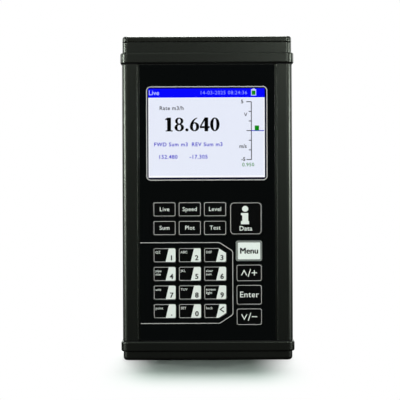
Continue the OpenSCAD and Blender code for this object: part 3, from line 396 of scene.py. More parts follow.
class Piece:
    """Shapes that share one object, given in mm: flat ones across and up at some depth, and turned ones."""

    def __init__(self, name, body):
        self.name, self.body = name, body
        self.mesh = bmesh.new()
        self.materials = []

    def index(self, material):
        """Place of a material among the piece's own, taken up when it is new."""
        if material not in self.materials:
            self.materials.append(material)
        return self.materials.index(material)

    def corners(self, places):
        """Corners at these places in mm."""
        return [self.mesh.verts.new((x * MM, y * MM, z * MM)) for x, y, z in places]

    def strip(self, one, two, material, closed=True):
        """Faces between two rows of as many corners, or between a row and one corner."""
        made, count = [], max(len(one), len(two))
        for i in range(count if closed else count - 1):
            j = (i + 1) % count
            quad = [one[i % len(one)], one[j % len(one)], two[j % len(two)], two[i % len(two)]]
            made.append(self.mesh.faces.new([c for n, c in enumerate(quad) if c not in quad[:n]]))
            made[-1].material_index = self.index(material)
        return made

    def faces(self, rings, material, y, closed=True):
        """A print at the depth y, inside one outline or between two outlines of as many points."""
        rows = [self.corners((x, y, z) for x, z in ring) for ring in rings]
        made = [self.mesh.faces.new(rows[0])] if len(rows) == 1 else self.strip(*rows, material, closed)
        grown = bmesh.ops.extrude_face_region(self.mesh, geom=made, use_keep_orig=True)["geom"]
        rear = [g for g in grown if isinstance(g, bmesh.types.BMVert)]
        bmesh.ops.translate(self.mesh, verts=rear, vec=(0, PRINT_T * MM, 0))
        for face in made + [face for vert in rear for face in vert.link_faces]:
            face.material_index = self.index(material)

    def hoop(self, rings, material):
        """A closed hoop through these outlines of as many points, each with a depth of its own."""
        rows = [self.corners((x, y, z) for x, z in ring) for ring, y in rings]
        for one, two in zip(rows, rows[1:] + rows[:1]):
            self.strip(one, two, material)

    def turned(self, x, y, profile, material, steps=24):
        """A shape turned about an upright axis at x and y from a profile of radii and heights."""
        turns = [math.tau * i / steps for i in range(steps)]
        rings = [self.corners([(x + r * math.cos(turn), y + r * math.sin(turn), z) for turn in turns] if r
                              else [(x, y, z)]) for r, z in profile]
        if profile[0][0]:
            rings.append(rings[0])
        for low, high in zip(rings, rings[1:]):
            self.strip(low, high, material)

    def block(self, low, high, material):
        """A block between two corners, its top drawn in by a chamfer."""
        levels = ((low[2], 0), (high[2] - CHAMFER, 0), (high[2], CHAMFER))
        rings = [self.corners([(low[0] + c, low[1] + c, z), (high[0] - c, low[1] + c, z),
                               (high[0] - c, high[1] - c, z), (low[0] + c, high[1] - c, z)])
                 for z, c in levels]
        for end in (rings[0], rings[-1]):
            self.mesh.faces.new(end).material_index = self.index(material)
        for one, two in zip(rings, rings[1:]):
            self.strip(one, two, material)

    def box(self, x0, x1, z0, z1, material, y):
        """A print in the shape of a box between two places across and two up."""
        self.faces([[(x0, z0), (x1, z0), (x1, z1), (x0, z1)]], material, y)

    def line(self, points, width, material, y, closed=False):
        """A line of even width through these points, mitred at each."""
        left, right = [], []
        last = len(points) - 1
        for i, point in enumerate(points):
            here = Vector(point)
            before = here - Vector(points[i - 1]) if i or closed else None
            after = Vector(points[(i + 1) % len(points)]) - here if i < last or closed else None
            ways = [way.normalized() for way in (before, after)
                    if way is not None and way.length > NO_LENGTH]
            way = sum(ways, Vector((0, 0))).normalized()
            side = Vector((-way.y, way.x))
            half = width / 2 / max(LINE_MITRE, side.dot(Vector((-ways[0].y, ways[0].x))))
            left.append(tuple(here + side * half))
            right.append(tuple(here - side * half))
        self.faces([left, right], material, y, closed=closed)

    def text(self, words, x, z, height, material, y, align="CENTER", heavy=0.0, apart=1.0):
        """Words in the built-in face, in mm: height is a capital's, heavy how far each stroke is thickened.

        apart is the space between letters over the usual one."""
        curve = bpy.data.curves.new(self.name + "_words", "FONT")
        curve.body = words
        curve.align_x = align
        curve.align_y = "CENTER"
        curve.size = height / CAPITAL_SHARE
        curve.offset = heavy
        curve.space_character = apart
        curve.resolution_u = 3
        curve.extrude = PRINT_T / 2
        holder = in_scene(curve.name, curve)
        shape = shape_of(holder)
        bpy.data.objects.remove(holder)
        stand = Matrix.Translation(Vector((x, y + PRINT_T / 2, z))) @ Matrix.Rotation(math.pi / 2, 4, "X")
        shape.transform(Matrix.Scale(MM, 4) @ stand)
        for polygon in shape.polygons:
            polygon.material_index = self.index(material)
        self.mesh.from_mesh(shape)

    def finish(self):
        """Makes the object, which rides on its body."""
        bmesh.ops.recalc_face_normals(self.mesh, faces=self.mesh.faces)
        mesh = bpy.data.meshes.new(self.name)
        self.mesh.to_mesh(mesh)
        self.mesh.free()
        for material in self.materials:
            mesh.materials.append(material)
        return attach(in_scene(self.name, mesh), self.body)


def arc(x, z, across, up, start, end, steps=8):
    """Points of an arc of these two radii, in degrees counted from +X towards +Z."""
    turns = [math.radians(start + (end - start) * i / steps) for i in range(steps + 1)]
    return [(x + across * math.cos(turn), z + up * math.sin(turn)) for turn in turns]


def ellipse(x, z, across, up):
    """Outline of an ellipse."""
    return arc(x, z, across, up, 0, 360, ROUND_STEPS)[:-1]


def round_box(x, z, w, h, r):
    """Outline of a box with round corners, centred on x and z."""
    right, top = w / 2 - r, h / 2 - r
    return (arc(x + right, z + top, r, r, 0, 90) + arc(x - right, z + top, r, r, 90, 180)
            + arc(x - right, z - top, r, r, 180, 270) + arc(x + right, z - top, r, r, 270, 360))


def drawn_in(outline, inset):
    """A convex outline, run anticlockwise, moved inwards by inset all round."""
    count, moved = len(outline), []
    for i, point in enumerate(outline):
        here, before, after = Vector(point), Vector(outline[i - 1]), Vector(outline[(i + 1) % count])
        one, two = (here - before).normalized(), (after - here).normalized()
        normal = Vector((-one.y - two.y, one.x + two.x)).normalized()
        moved.append(tuple(here + normal * inset / max(INSET_MITRE, normal.dot(Vector((-one.y, one.x))))))
    return moved


def cut_off(outline, point, way):
    """What is left of a convex outline on the side of the line through point to which way points."""
    kept = []
    for i, end in enumerate(outline):
        start = outline[i - 1]
        a = (Vector(start) - Vector(point)).dot(Vector(way))
        b = (Vector(end) - Vector(point)).dot(Vector(way))
        if a * b < 0:
            kept.append(tuple(Vector(start).lerp(Vector(end), a / (a - b))))
        if b >= 0:
            kept.append(end)
    return kept


# Front panel's printed lines ------------------------------------------------------------------------

panel_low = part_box("front_panel")[0]
print_y = panel_low.y / MM - PRINT_T

# Line round the display: its middle across and up, width, height and corner radius, in mm
FRAME_LINE, FRAME_LINE_W = (-0.17, 135.75, 71.94, 55.8, 2.4), 0.57
# Line round the number keys, open to the left, where it runs off the panel: its top and foot, and its
# corners across and inwards from either
GROUP_TOP, GROUP_LOW, GROUP_LINE_W = 70.4, 22.1, 0.42
GROUP_CORNERS = ((6.4, 0), (7.2, 0.15), (8.0, 0.6), (14.0, 4.5), (14.65, 5.1), (15.0, 6.0))
PANEL_MARGIN = 0.1   # mm that it ends short of the panel's edge

lines = Piece("panel_lines", "meter")
lines.line(round_box(*FRAME_LINE)[:-1], FRAME_LINE_W, grey_ink, print_y, closed=True)
group = [(panel_low.x / MM + PANEL_MARGIN, GROUP_TOP)]
group += [(across, GROUP_TOP - inwards) for across, inwards in GROUP_CORNERS]
group += [(across, GROUP_TOP + GROUP_LOW - up) for across, up in reversed(group)]
lines.line(group, GROUP_LINE_W, grey_ink, print_y)
lines.finish()


# Display picture ------------------------------------------------------------------------------------

LAYER = 0.008      # mm between two layers of the lit picture
LIT_GAP = 0.02     # mm from the module's face to the lowest layer
module_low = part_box("display_module")[0]


def layer(count):
    """Depth of a layer of the lit picture, counted from the module."""
    return module_low.y / MM - LIT_GAP - count * (LAYER + PRINT_T)


LEFT, RIGHT, FOOT, TOP = px_x(148.8), px_x(264.9), px_z(177.45), px_z(88.6)
HEADER_Z = px_z(97.7)                              # foot of the header
MARGIN, TOP_MARGIN = 0.7, 0.5                      # mm of unlit glass round the picture
BORDER, FOOT_BORDER, HEADER_BORDER = 0.6, 1.2, 0.4  # mm of the pale border round the field

screen = Piece("display_picture", "meter")
screen.box(LEFT - MARGIN, RIGHT + MARGIN, FOOT - MARGIN, TOP + TOP_MARGIN, lit_margin, layer(0))
screen.box(LEFT, RIGHT, FOOT, HEADER_Z, lit_border, layer(1))
screen.box(LEFT + BORDER, RIGHT - BORDER, FOOT + FOOT_BORDER, HEADER_Z - HEADER_BORDER, lit_field, layer(2))
screen.box(LEFT, RIGHT, HEADER_Z, TOP, lit_header, layer(2))

# Header: a mode, a clock and a battery. Words have their place in pixels and their height in mm
screen.text("Live", px_x(149), px_z(93), 2.9, lit_header_text, layer(3), align="LEFT")
screen.text("14-03-2025 08:24:36", px_x(247.6), px_z(93), 2.2, lit_clock, layer(3), align="RIGHT", apart=1.12)
CELL_LEFT, CELL_RIGHT, CELL_FOOT, CELL_TOP = px_x(251.5), px_x(256.5), px_z(95.8), px_z(89.6)
POLE_IN, POLE_H = 0.9, 0.5        # mm in from each side of the battery to its pole, and the pole's height
SHELL, SHELL_TOP = 0.4, 0.8       # mm of its shell round the charge
screen.box(CELL_LEFT, CELL_RIGHT, CELL_FOOT, CELL_TOP, lit_header_text, layer(3))
screen.box(CELL_LEFT + POLE_IN, CELL_RIGHT - POLE_IN, CELL_TOP, CELL_TOP + POLE_H, lit_header_text, layer(3))
screen.box(CELL_LEFT + SHELL, CELL_RIGHT - SHELL, CELL_FOOT + SHELL, CELL_TOP - SHELL_TOP, lit_green,
           layer(4))

# Readings
SMALL = 2.35   # mm of their capitals
screen.text("Rate m3/h", px_x(172), px_z(108.3), SMALL, lit_grey, layer(3), heavy=0.06, apart=1.1)
for words, across, down in (("FWD Sum m3", 171.2, 144.6), ("REV Sum m3", 207.4, 144.6),
                            ("152.480", 168.2, 157), ("-17.305", 198.8, 157)):
    screen.text(words, px_x(across), px_z(down), SMALL, lit_blue, layer(3), heavy=0.065, apart=1.12)


def bar(left, right, low, high):
    """Straight stroke of a figure."""
    return [[(left, low), (right, low), (right, high), (left, high)]]


def bowl(middle, across, up, side, top):
    """Closed bowl of a figure round a height: its radii, and its stroke at the sides and at top and foot."""
    return [ellipse(0, middle, across, up), ellipse(0, middle, across - side, up - top)]


# Big reading in heavy Roman figures: thick uprights, thin tops and feet, in mm from the middle of their foot
FIGURE_X, FIGURE_Z, FIGURE_H, FIGURE_STEP = px_x(169.4), px_z(131.4), 8.3, 6.1
SIX_TAIL = [arc(2.9, 2.8, 5.6, 5.6, 180, 103, 12), arc(2.9, 3.1, 3.8, 5.0, 180, 108, 12)]
FIGURES = {
    "1": [bar(-1.15, 1.15, 0.65, FIGURE_H), bar(-2.1, 2.1, 0, 0.65),
          [[(-1.0, FIGURE_H), (-2.3, 7.5), (-2.3, 6.8), (-1.0, 6.9)]]],
    "8": [bowl(2.3, 2.85, 2.3, 1.8, 0.7), bowl(6.2, 2.5, 2.1, 1.6, 0.65)],
    ".": [[ellipse(0, 0.9, 0.95, 0.9)]],
    "6": [bowl(2.75, 2.85, 2.75, 1.9, 0.7), SIX_TAIL],
    "4": [bar(-0.1, 2.1, 0, FIGURE_H), bar(-2.9, 2.95, 1.9, 3.1),
          [[(0, FIGURE_H), (-2.9, 3.1), (-1.9, 3.1), (0, 6.4)]]],
    "0": [bowl(FIGURE_H / 2, 2.85, FIGURE_H / 2, 1.95, 0.65)],
}
READING = (("1", 0), ("8", 1), (".", 1.75), ("6", 2.5), ("4", 3.5), ("0", 4.5))  # with its steps across
for figure, steps in READING:
    x = FIGURE_X + steps * FIGURE_STEP
    for rings in FIGURES[figure]:
        screen.faces([[(x + across, FIGURE_Z + up) for across, up in ring] for ring in rings], lit_black,
                     layer(3), closed=rings is not SIX_TAIL)

# Speed scale with its ticks, and the bar that stands for the speed
SCALE_X, SCALE_TOP, SCALE_LOW = px_x(251.6), px_z(102), px_z(159.8)
SCALE_MIDDLE = (SCALE_TOP + SCALE_LOW) / 2
TICK_W = 0.5        # mm of a tick, and of the scale's lines
ZERO_SHORT = 0.3    # mm that the zero line ends short of the picture's edge
SPEED_LEFT, SPEED_RIGHT, SPEED_TOP, SPEED_LIFT = px_x(255), px_x(259.3), px_z(125.8), 0.1   # the speed's bar
screen.box(SCALE_X - TICK_W / 2, SCALE_X + TICK_W / 2, SCALE_LOW, SCALE_TOP, lit_grey, layer(3))
screen.box(SCALE_X, RIGHT - ZERO_SHORT, SCALE_MIDDLE - TICK_W / 2, SCALE_MIDDLE + TICK_W / 2, lit_blue,
           layer(4))
screen.box(SPEED_LEFT, SPEED_RIGHT, SCALE_MIDDLE + SPEED_LIFT, SPEED_TOP, lit_green, layer(5))
for words, across, down, tall, heavy in (("5", 242.5, 102, 2.2, 0.07), ("V", 246, 115, 2.3, 0.04),
                                         ("m/s", 243.2, 146.5, 2.3, 0.06), ("-5", 243.5, 159.5, 2.2, 0.07)):
    screen.text(words, px_x(across), px_z(down), tall, lit_black, layer(3), heavy=heavy)
screen.text("0.950", px_x(248.3), px_z(165), 2.2, lit_green, layer(3), heavy=0.03, apart=1.1)
screen.finish()


# Prints on the keys -----------------------------------------------------------------------------------

FLANGE = 0.5       # mm of a key's flange past its cap
RIM = 0.3          # round rim of a cap
RIM_TURN = 0.29    # share of the rim at the middle of its round
LINE_W = 0.3       # grey line round a cap's face
MENU_LINE_W = 0.8  # the broader one of the menu key
CLIP_W, CLIP_H = 4.7, 3.0   # clipped corner of a key
CAP_R = {"key_data": 2.4, "key_menu": 1.5, "key_enter": 1.5, "key_up": 1.5, "key_down": 1.5}
SMALL_CAP_R = 1.2  # corner radius of the others
CLIPPED = {"key_3": 1, "key_back": -1}   # at the top or at the foot
DIGITS = {"key_1": "1", "key_2": "2", "key_3": "3", "key_4": "4", "key_5": "5", "key_6": "6", "key_7": "7",
          "key_8": "8", "key_9": "9", "key_dot": ".", "key_0": "0", "key_back": "<"}
LETTERS = {"key_1": ["QZ"], "key_2": ["ABC"], "key_3": ["DEF"], "key_4": ["pipe", "size"], "key_5": ["JKL"],
           "key_6": ["clear", "sum"], "key_7": ["unit"], "key_8": ["TUV"], "key_9": ["screen", "light"],
           "key_dot": ["point"], "key_0": ["SET"], "key_back": ["back"]}
WORDS = {"key_live": "Live", "key_speed": "Speed", "key_level": "Level", "key_sum": "Sum", "key_plot": "Plot",
         "key_test": "Test", "key_enter": "Enter"}

# Number keys, in mm: the white wedge's slanting side from the cap's left at top and foot, and its inset; the
# digit in from the right and down from the middle; the letters in from the left, up, and from row to row
WEDGE_TOP, WEDGE_FOOT, WEDGE_IN = 9.35, 7.2, 0.34
DIGIT_IN, DIGIT_DROP, POINT_DROP, DIGIT_H = 2.75, 1.75, 1.3, 3.1
LETTER_IN, LETTER_UP, LETTER_ROW, LETTER_H = 1.2, 1.7, 2.0, 1.5
BACK_MARK, BACK_MARK_W = ((5.1, 2.5), (2.9, 0.95), (5.1, -0.6)), 0.62
# A digit, and the menu key's word, are set more than once, this far to each side, to thicken their strokes
DIGIT_TWICE = (-0.07, 0.07)
MENU_FOUR = ((-0.16, -0.07), (-0.16, 0.07), (0.16, -0.07), (0.16, 0.07))
MENU_H, MENU_DROP, ENTER_H, WORD_H = 3.6, 0.1, 3.6, 2.5
# Marks of the arrow keys from the cap's middle: chevron, stroke, minus, and what makes it a plus
MARK_W = 0.5
CHEVRON = ((-4.6, -1.5), (-3.0, 1.5), (-1.4, -1.5))
STROKE = ((-0.6, -2.3), (0.9, 2.3))
MINUS, UPRIGHT = (1.5, 4.7, -0.26, 0.26), (2.84, 3.36, -1.6, 1.6)
# Data key: the dot and the bars of its letter i, and its word
INFO_DOT = (-0.4, 5.7, 1.85, 1.75)
INFO_BARS = ((-2.95, 1.4, 1.9, 3.25), (-2.15, 1.4, -1.6, 1.9), (-2.95, 1.9, -3.5, -1.6))
DATA_PLACE, DATA_H = (-0.1, -6.1), 2.8


def key_outline(node):
    """Outline of a key's cap, anticlockwise in mm, with its middle, its size and its face's depth."""
    low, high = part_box(node)
    x, z = (low.x + high.x) / 2 / MM, (low.z + high.z) / 2 / MM
    w, h = (high.x - low.x) / MM - 2 * FLANGE, (high.z - low.z) / MM - 2 * FLANGE
    outline = round_box(x, z, w, h, CAP_R.get(node, SMALL_CAP_R))
    if node in CLIPPED:
        end = CLIPPED[node]
        outline = cut_off(outline, (x + w / 2 - CLIP_W, z + end * h / 2), (-CLIP_H, -end * CLIP_W))
    kept = [p for i, p in enumerate(outline) if (Vector(p) - Vector(outline[i - 1])).length > SAME_POINT]
    return kept, x, z, w, h, low.y / MM


def shifted(points, x, z, way=1):
    """Points about x and z, turned over where way is -1."""
    return [(x + across, z + way * up) for across, up in points]


for node in sorted(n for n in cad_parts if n.startswith("key_") and n != "key_deck"):
    outline, x, z, w, h, face_y = key_outline(node)
    white = node == "key_menu"
    top_y = face_y - PRINT_T
    sheet = Piece(node + "_print", node)
    # The line runs round the flat face, just inside the cap's round rim, and covers the menu key's rim too,
    # there in a darker grey that is partly print and partly painted shade of the round rim
    width = MENU_LINE_W if white else LINE_W
    turn = RIM_TURN * RIM
    edge = [(-PRINT_T, face_y + RIM), (turn - PRINT_T, face_y + turn - PRINT_T)] if white else [
        (RIM, face_y + RIM)]
    edge += [(RIM, top_y), (RIM + width, top_y), (RIM + width, face_y + RIM)]
    sheet.hoop([(drawn_in(outline, inset), y) for inset, y in edge], rim_ink_and_shade if white else grey_ink)
    if node in DIGITS:
        # White wedge on the right with the digit, and small letters on the black part
        top, low = (x - w / 2 + WEDGE_TOP, z + h / 2), (x - w / 2 + WEDGE_FOOT, z - h / 2)
        wedge = cut_off(drawn_in(outline, WEDGE_IN), low, (top[1] - low[1], low[0] - top[0]))
        sheet.faces([wedge], white_ink, top_y - PRINT_T)
        digit = DIGITS[node]
        if digit == "<":
            sheet.line(shifted(BACK_MARK, x, z), BACK_MARK_W, black_ink, top_y - 2 * PRINT_T)
        else:
            drop = POINT_DROP if digit == "." else DIGIT_DROP
            for aside in DIGIT_TWICE:
                sheet.text(digit, x + w / 2 - DIGIT_IN + aside, z - drop, DIGIT_H, black_ink,
                           top_y - 2 * PRINT_T, heavy=0.08)
        for i, row in enumerate(LETTERS[node]):
            sheet.text(row, x - w / 2 + LETTER_IN, z + LETTER_UP - LETTER_ROW * i, LETTER_H, white_ink, top_y,
                       align="LEFT", heavy=0.01, apart=1.05)
    elif white:
        for aside, up in MENU_FOUR:
            sheet.text("Menu", x + aside, z - MENU_DROP + up, MENU_H, black_ink, top_y)
    elif node in WORDS:
        tall = ENTER_H if node == "key_enter" else WORD_H
        sheet.text(WORDS[node], x, z, tall, white_ink, top_y, heavy=0.02, apart=1.07)
    elif node in ("key_up", "key_down"):
        way = 1 if node == "key_up" else -1
        sheet.line(shifted(CHEVRON, x, z, way), MARK_W, white_ink, top_y)
        sheet.line(shifted(STROKE, x, z), MARK_W, white_ink, top_y)
        sheet.box(x + MINUS[0], x + MINUS[1], z + MINUS[2], z + MINUS[3], white_ink, top_y)
        if way > 0:
            sheet.box(x + UPRIGHT[0], x + UPRIGHT[1], z + UPRIGHT[2], z + UPRIGHT[3], white_ink,
                      top_y - PRINT_T)
    elif node == "key_data":
        across, up, half_w, half_h = INFO_DOT
        sheet.faces([ellipse(x + across, z + up, half_w, half_h)], white_ink, top_y)
        for left, right, low, high in INFO_BARS:
            sheet.box(x + left, x + right, z + low, z + high, white_ink, top_y)
        sheet.text("Data", x + DATA_PLACE[0], z + DATA_PLACE[1], DATA_H, white_ink, top_y, heavy=0.05,
                   apart=1.07)
    sheet.finish()


# Rows and fields of small blocks ----------------------------------------------------------------------

BLOCK_TOP, BLOCK_FOOT = 0.62, 0.7071   # half diagonals of a block's top and foot, of a unit block


def block_field():
    """Node tree of a field of small blocks: some are left out and each is moved a little, at random."""
    made = bpy.data.node_groups.new("block_field", "GeometryNodeTree")
    for name, kind in (("Columns", "Int"), ("Rows", "Int"), ("Width", "Float"), ("Height", "Float"),
                       ("Block", "Vector"), ("Wander", "Float"), ("Kept", "Float"), ("Seed", "Int"),
                       ("Place", "Vector"), ("Material", "Material")):
        made.interface.new_socket(name, in_out="INPUT", socket_type="NodeSocket" + kind)
    made.interface.new_socket("Geometry", in_out="OUTPUT", socket_type="NodeSocketGeometry")
    given = add(made, "NodeGroupInput").outputs
    grid = add(made, "GeometryNodeMeshGrid", {
        "Size X": given["Width"], "Size Y": given["Height"], "Vertices X": given["Columns"],
        "Vertices Y": given["Rows"]})
    most = add(made, "ShaderNodeVectorMath", {0: (1, 1, 0), "Scale": given["Wander"]}, operation="SCALE")
    least = add(made, "ShaderNodeVectorMath", {0: (-1, -1, 0), "Scale": given["Wander"]}, operation="SCALE")
    moved = add(made, "FunctionNodeRandomValue", {
        0: least, 1: most, "Seed": given["Seed"]}, data_type="FLOAT_VECTOR")
    spread = add(made, "GeometryNodeSetPosition", {"Geometry": grid, "Offset": moved})
    kept = add(made, "FunctionNodeRandomValue", {
        "Probability": given["Kept"], "Seed": given["Seed"]}, data_type="BOOLEAN")
    shape = add(made, "GeometryNodeMeshCone", {
        "Vertices": 4, "Radius Top": BLOCK_TOP, "Radius Bottom": BLOCK_FOOT, "Depth": 1.0})
    square = add(made, "GeometryNodeTransform", {"Geometry": shape, "Rotation": (0, 0, math.pi / 4)})
    placed = add(made, "GeometryNodeInstanceOnPoints", {
        "Points": spread, "Selection": kept, "Instance": square, "Scale": given["Block"]})
    real = add(made, "GeometryNodeRealizeInstances", {"Geometry": placed})
    upright = add(made, "GeometryNodeTransform", {
        "Geometry": real, "Translation": given["Place"], "Rotation": (math.pi / 2, 0, 0)})
    dressed = add(made, "GeometryNodeSetMaterial", {"Geometry": upright, "Material": given["Material"]})
    add(made, "NodeGroupOutput", {"Geometry": dressed})
    return made


field_tree = block_field()


def field(name, body, place, grid, span, block, material, wander=0.0, kept=1.0, seed=1):
    """A field of blocks in mm on an upright face: grid counts them, span is what their centres cover."""
    values = {"Columns": grid[0], "Rows": grid[1], "Width": span[0] * MM, "Height": span[1] * MM,
              "Block": [v * MM for v in block], "Wander": wander * MM, "Kept": kept, "Seed": seed,
              "Place": [v * MM for v in place], "Material": material}
    holder = in_scene(name, bpy.data.meshes.new(name))
    modifier = holder.modifiers.new("field", "NODES")
    modifier.node_group = field_tree
    for socket in field_tree.interface.items_tree:
        if socket.name in values:
            modifier[socket.identifier] = values[socket.name]
    shape = shape_of(holder)
    holder.modifiers.remove(modifier)
    holder.data = shape
    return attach(holder, body)


# Ticks of the speed scale: how many, and their length in mm
scale_span = SCALE_TOP - SCALE_LOW
for name, rows, length in (("scale_ticks_long", 3, 2.9), ("scale_ticks_short", 7, 1.6)):
    field(name, "meter", (SCALE_X - length / 2, layer(4), SCALE_MIDDLE), (1, rows), (0, scale_span),
          (length, TICK_W, PRINT_T), lit_grey)

# Small resistors and capacitors on the boards: a dark body on two tinned ends. Each row has the face that
# carries them, the way it looks, and the field's middle, count and span
board_low, board_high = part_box("main_board")
keypad_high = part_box("keypad_board")[1]
FIELDS = (("rear_parts", board_high.y / MM, 1, (0, 61), (13, 17), (66, 52)),
          ("front_parts", board_low.y / MM, -1, (-28, 62), (6, 6), (26, 18)),
          ("keypad_parts", keypad_high.y / MM, 1, (-23, 74), (6, 8), (22, 34)))
CHIPS = (("ends", (1.6, 0.8, 0.35), tin), ("bodies", (1.0, 0.85, 0.5), epoxy))  # width, height and thickness
FIRST_SEED = 4
for number, (name, face_y, way, centre, grid, span) in enumerate(FIELDS):
    for part, block, finish in CHIPS:
        parts = field(name + "_" + part, "meter", (centre[0], face_y + way * block[2] / 2, centre[1]), grid,
                      span, block, finish, wander=0.8, kept=0.6, seed=number + FIRST_SEED)


# Contacts, rings and tabs -----------------------------------------------------------------------------

# All in mm: heights are over the floor of a socket's bore, whose own height is the first. Each socket has its
# bore's radius and the number of its contacts
BORE_FLOOR = 181.9
SOCKETS = (("upstream_socket", 3.6, 1), ("downstream_socket", 3.6, 1), ("signal_socket", 4.4, 5),
           ("charge_socket", 2.75, 1))
# White carrier: how far it is clear of the bore and of the floor, its chamfer outside, the radii of the well
# in its middle, and the heights of the well and of the top
CARRIER_GAP, CARRIER_LIFT, CARRIER_WALL, CARRIER_WELL = 0.08, 0.02, 0.3, (1.3, 1.0)
CARRIER_LOW, CARRIER_TOP = 1.2, 1.5
# Contacts: the radius that five stand on, the radius of a lone one and of others, the share of it that is left
# at the top, and their heights
PIN_RING, LONE_PIN_R, PIN_R, PIN_POINT = 2.6, 0.7, 0.5, 0.6
PIN_FOOT, PIN_STRAIGHT, PIN_SHOULDER, PIN_TOP = 1, 4.4, 4.9, 5
# Colour ring round a sensor socket: its radii, the chamfer of its edges, and its foot and top in the frame
RING_BORE, RING_R, RING_EDGE = 4.62, 5.3, 0.2
RING_FOOT, RING_TOP = 184.2, 185.6


def middle_of(node):
    """Where a node's middle is across and in depth, in mm."""
    low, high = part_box(node)
    return (low.x + high.x) / 2 / MM, (low.y + high.y) / 2 / MM


for node, bore, pins in SOCKETS:
    x, y = middle_of(node)
    inside = Piece(node + "_contacts", "meter")
    rim = bore - CARRIER_GAP
    inside.turned(x, y, [(radius, BORE_FLOOR + up) for radius, up in (
        (0, CARRIER_LIFT), (rim, CARRIER_LIFT), (rim, CARRIER_LOW), (rim - CARRIER_WALL, CARRIER_TOP),
        (CARRIER_WELL[0], CARRIER_TOP), (CARRIER_WELL[1], CARRIER_LOW), (0, CARRIER_LOW))], carrier)
    out, thick = (0, LONE_PIN_R) if pins == 1 else (PIN_RING, PIN_R)
    for i in range(pins):
        turn = math.tau * i / pins
        inside.turned(x + out * math.sin(turn), y + out * math.cos(turn),
                      [(radius, BORE_FLOOR + up) for radius, up in (
                          (0, PIN_FOOT), (thick, PIN_FOOT), (thick, PIN_STRAIGHT),
                          (thick * PIN_POINT, PIN_SHOULDER), (0, PIN_TOP))], gold, steps=16)
    inside.finish()
for node, finish in (("upstream_socket", ring_red), ("downstream_socket", ring_blue)):
    ring = Piece(node + "_ring", "meter")
    ring.turned(*middle_of(node), [
        (RING_BORE, RING_FOOT), (RING_R - RING_EDGE, RING_FOOT), (RING_R, RING_FOOT + RING_EDGE),
        (RING_R, RING_TOP - RING_EDGE), (RING_R - RING_EDGE, RING_TOP), (RING_BORE, RING_TOP)], finish)
    ring.finish()

# Welded nickel tabs that join the battery cells, and the white washers over the cells' ends
CELLS_Y, CELLS_APART = 5.65, 19.1          # mm in depth to the cells' axes, and from one to the next
WASHER_BORE, WASHER_R = 3.6, 8.2           # mm, and its foot and top down from the cells' ends
WASHER_FOOT, WASHER_TOP = 0.6, 0.35
TAB_HALF, TAB_GAP, TAB_T = 3, 0.02, 0.15   # mm of a tab's half width, clearance and thickness
cells_foot, cells_top = (corner.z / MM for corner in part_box("battery_cells"))
joined = Piece("battery_tabs", "meter")
for x in (-CELLS_APART, 0, CELLS_APART):
    joined.turned(x, CELLS_Y, [(radius, cells_top - down) for radius, down in (
        (WASHER_BORE, WASHER_FOOT), (WASHER_R, WASHER_FOOT), (WASHER_R, WASHER_TOP),
        (WASHER_BORE, WASHER_TOP))], carrier)
for start, end, foot in ((-CELLS_APART, 0, cells_top + TAB_GAP),
                         (0, CELLS_APART, cells_foot - TAB_GAP - TAB_T)):
    joined.block((start - TAB_HALF, CELLS_Y - TAB_HALF, foot),
                 (end + TAB_HALF, CELLS_Y + TAB_HALF, foot + TAB_T), nickel)
joined.finish()


# Camera, floor and light ------------------------------------------------------------------------------

LENS, SENSOR = 100.0, 36.0         # mm
ACROSS = PICTURE_PX * PIXEL * MM   # metres across the picture, at the front panel
MIDDLE_PX = PICTURE_PX / 2         # its middle column and row
CLOSER = 1.003                     # the object stands this much larger in the picture
ROLL = math.radians(0.24)          # and leans this far to the left
back_off = ACROSS * LENS / SENSOR / CLOSER
camera = in_scene("camera", bpy.data.cameras.new("camera"))
camera.data.lens, camera.data.sensor_width = LENS, SENSOR
camera.location = (px_x(MIDDLE_PX) * MM, panel_low.y - back_off, px_z(MIDDLE_PX) * MM)
camera.rotation_euler = (math.pi / 2, ROLL, 0)
bpy.context.scene.camera = camera

# Soft lights, in metres and watts: where each stands, what it faces, its width and height, and its power
MIDDLE = (0, 0, 0.1)
LAMPS = (("left_box", (-0.97, -0.4, 0.2), MIDDLE, (0.3, 0.14), 12.5),
         ("right_box", (0.97, -0.4, 0.19), MIDDLE, (0.3, 0.14), 8.6),
         ("high_box", (0.35, -1.0, 0.43), MIDDLE, (0.15, 0.15), 2.8),
         ("high_left_box", (-0.45, -1.0, 0.52), MIDDLE, (0.12, 0.12), 1.95),
         ("top_box", (0.0, 0.43, 1.1), (0, 0.43, 0), (0.4, 0.5), 16.6),
         ("rim_strip", (-0.46, 0.22, 0.29), MIDDLE, (0.1, 0.16), 0.35),
         ("rim_strip", (0.46, 0.22, 0.29), MIDDLE, (0.1, 0.16), 0.35))
for name, stand, aim, size, power in LAMPS:
    lamp = bpy.data.lights.new(name, "AREA")
    lamp.shape, lamp.size, lamp.size_y = "RECTANGLE", size[0], size[1]
    lamp.energy = power
    holder = in_scene(name, lamp)
    holder.location = stand
    holder.rotation_euler = (Vector(aim) - Vector(stand)).to_track_quat("-Z", "Y").to_euler()

# Studio floor of matt white card, its fibres just showing: it takes the shadow, and runs out into the white
# backdrop away from the meter
CARD_HALF = 0.7                     # metres from the card's middle to each side
CARD_LEAN = math.radians(24.8)      # lean of its nap to the rear, so that it takes little light from in front
FIBRE = 1.2                         # mm across a clump of its fibres
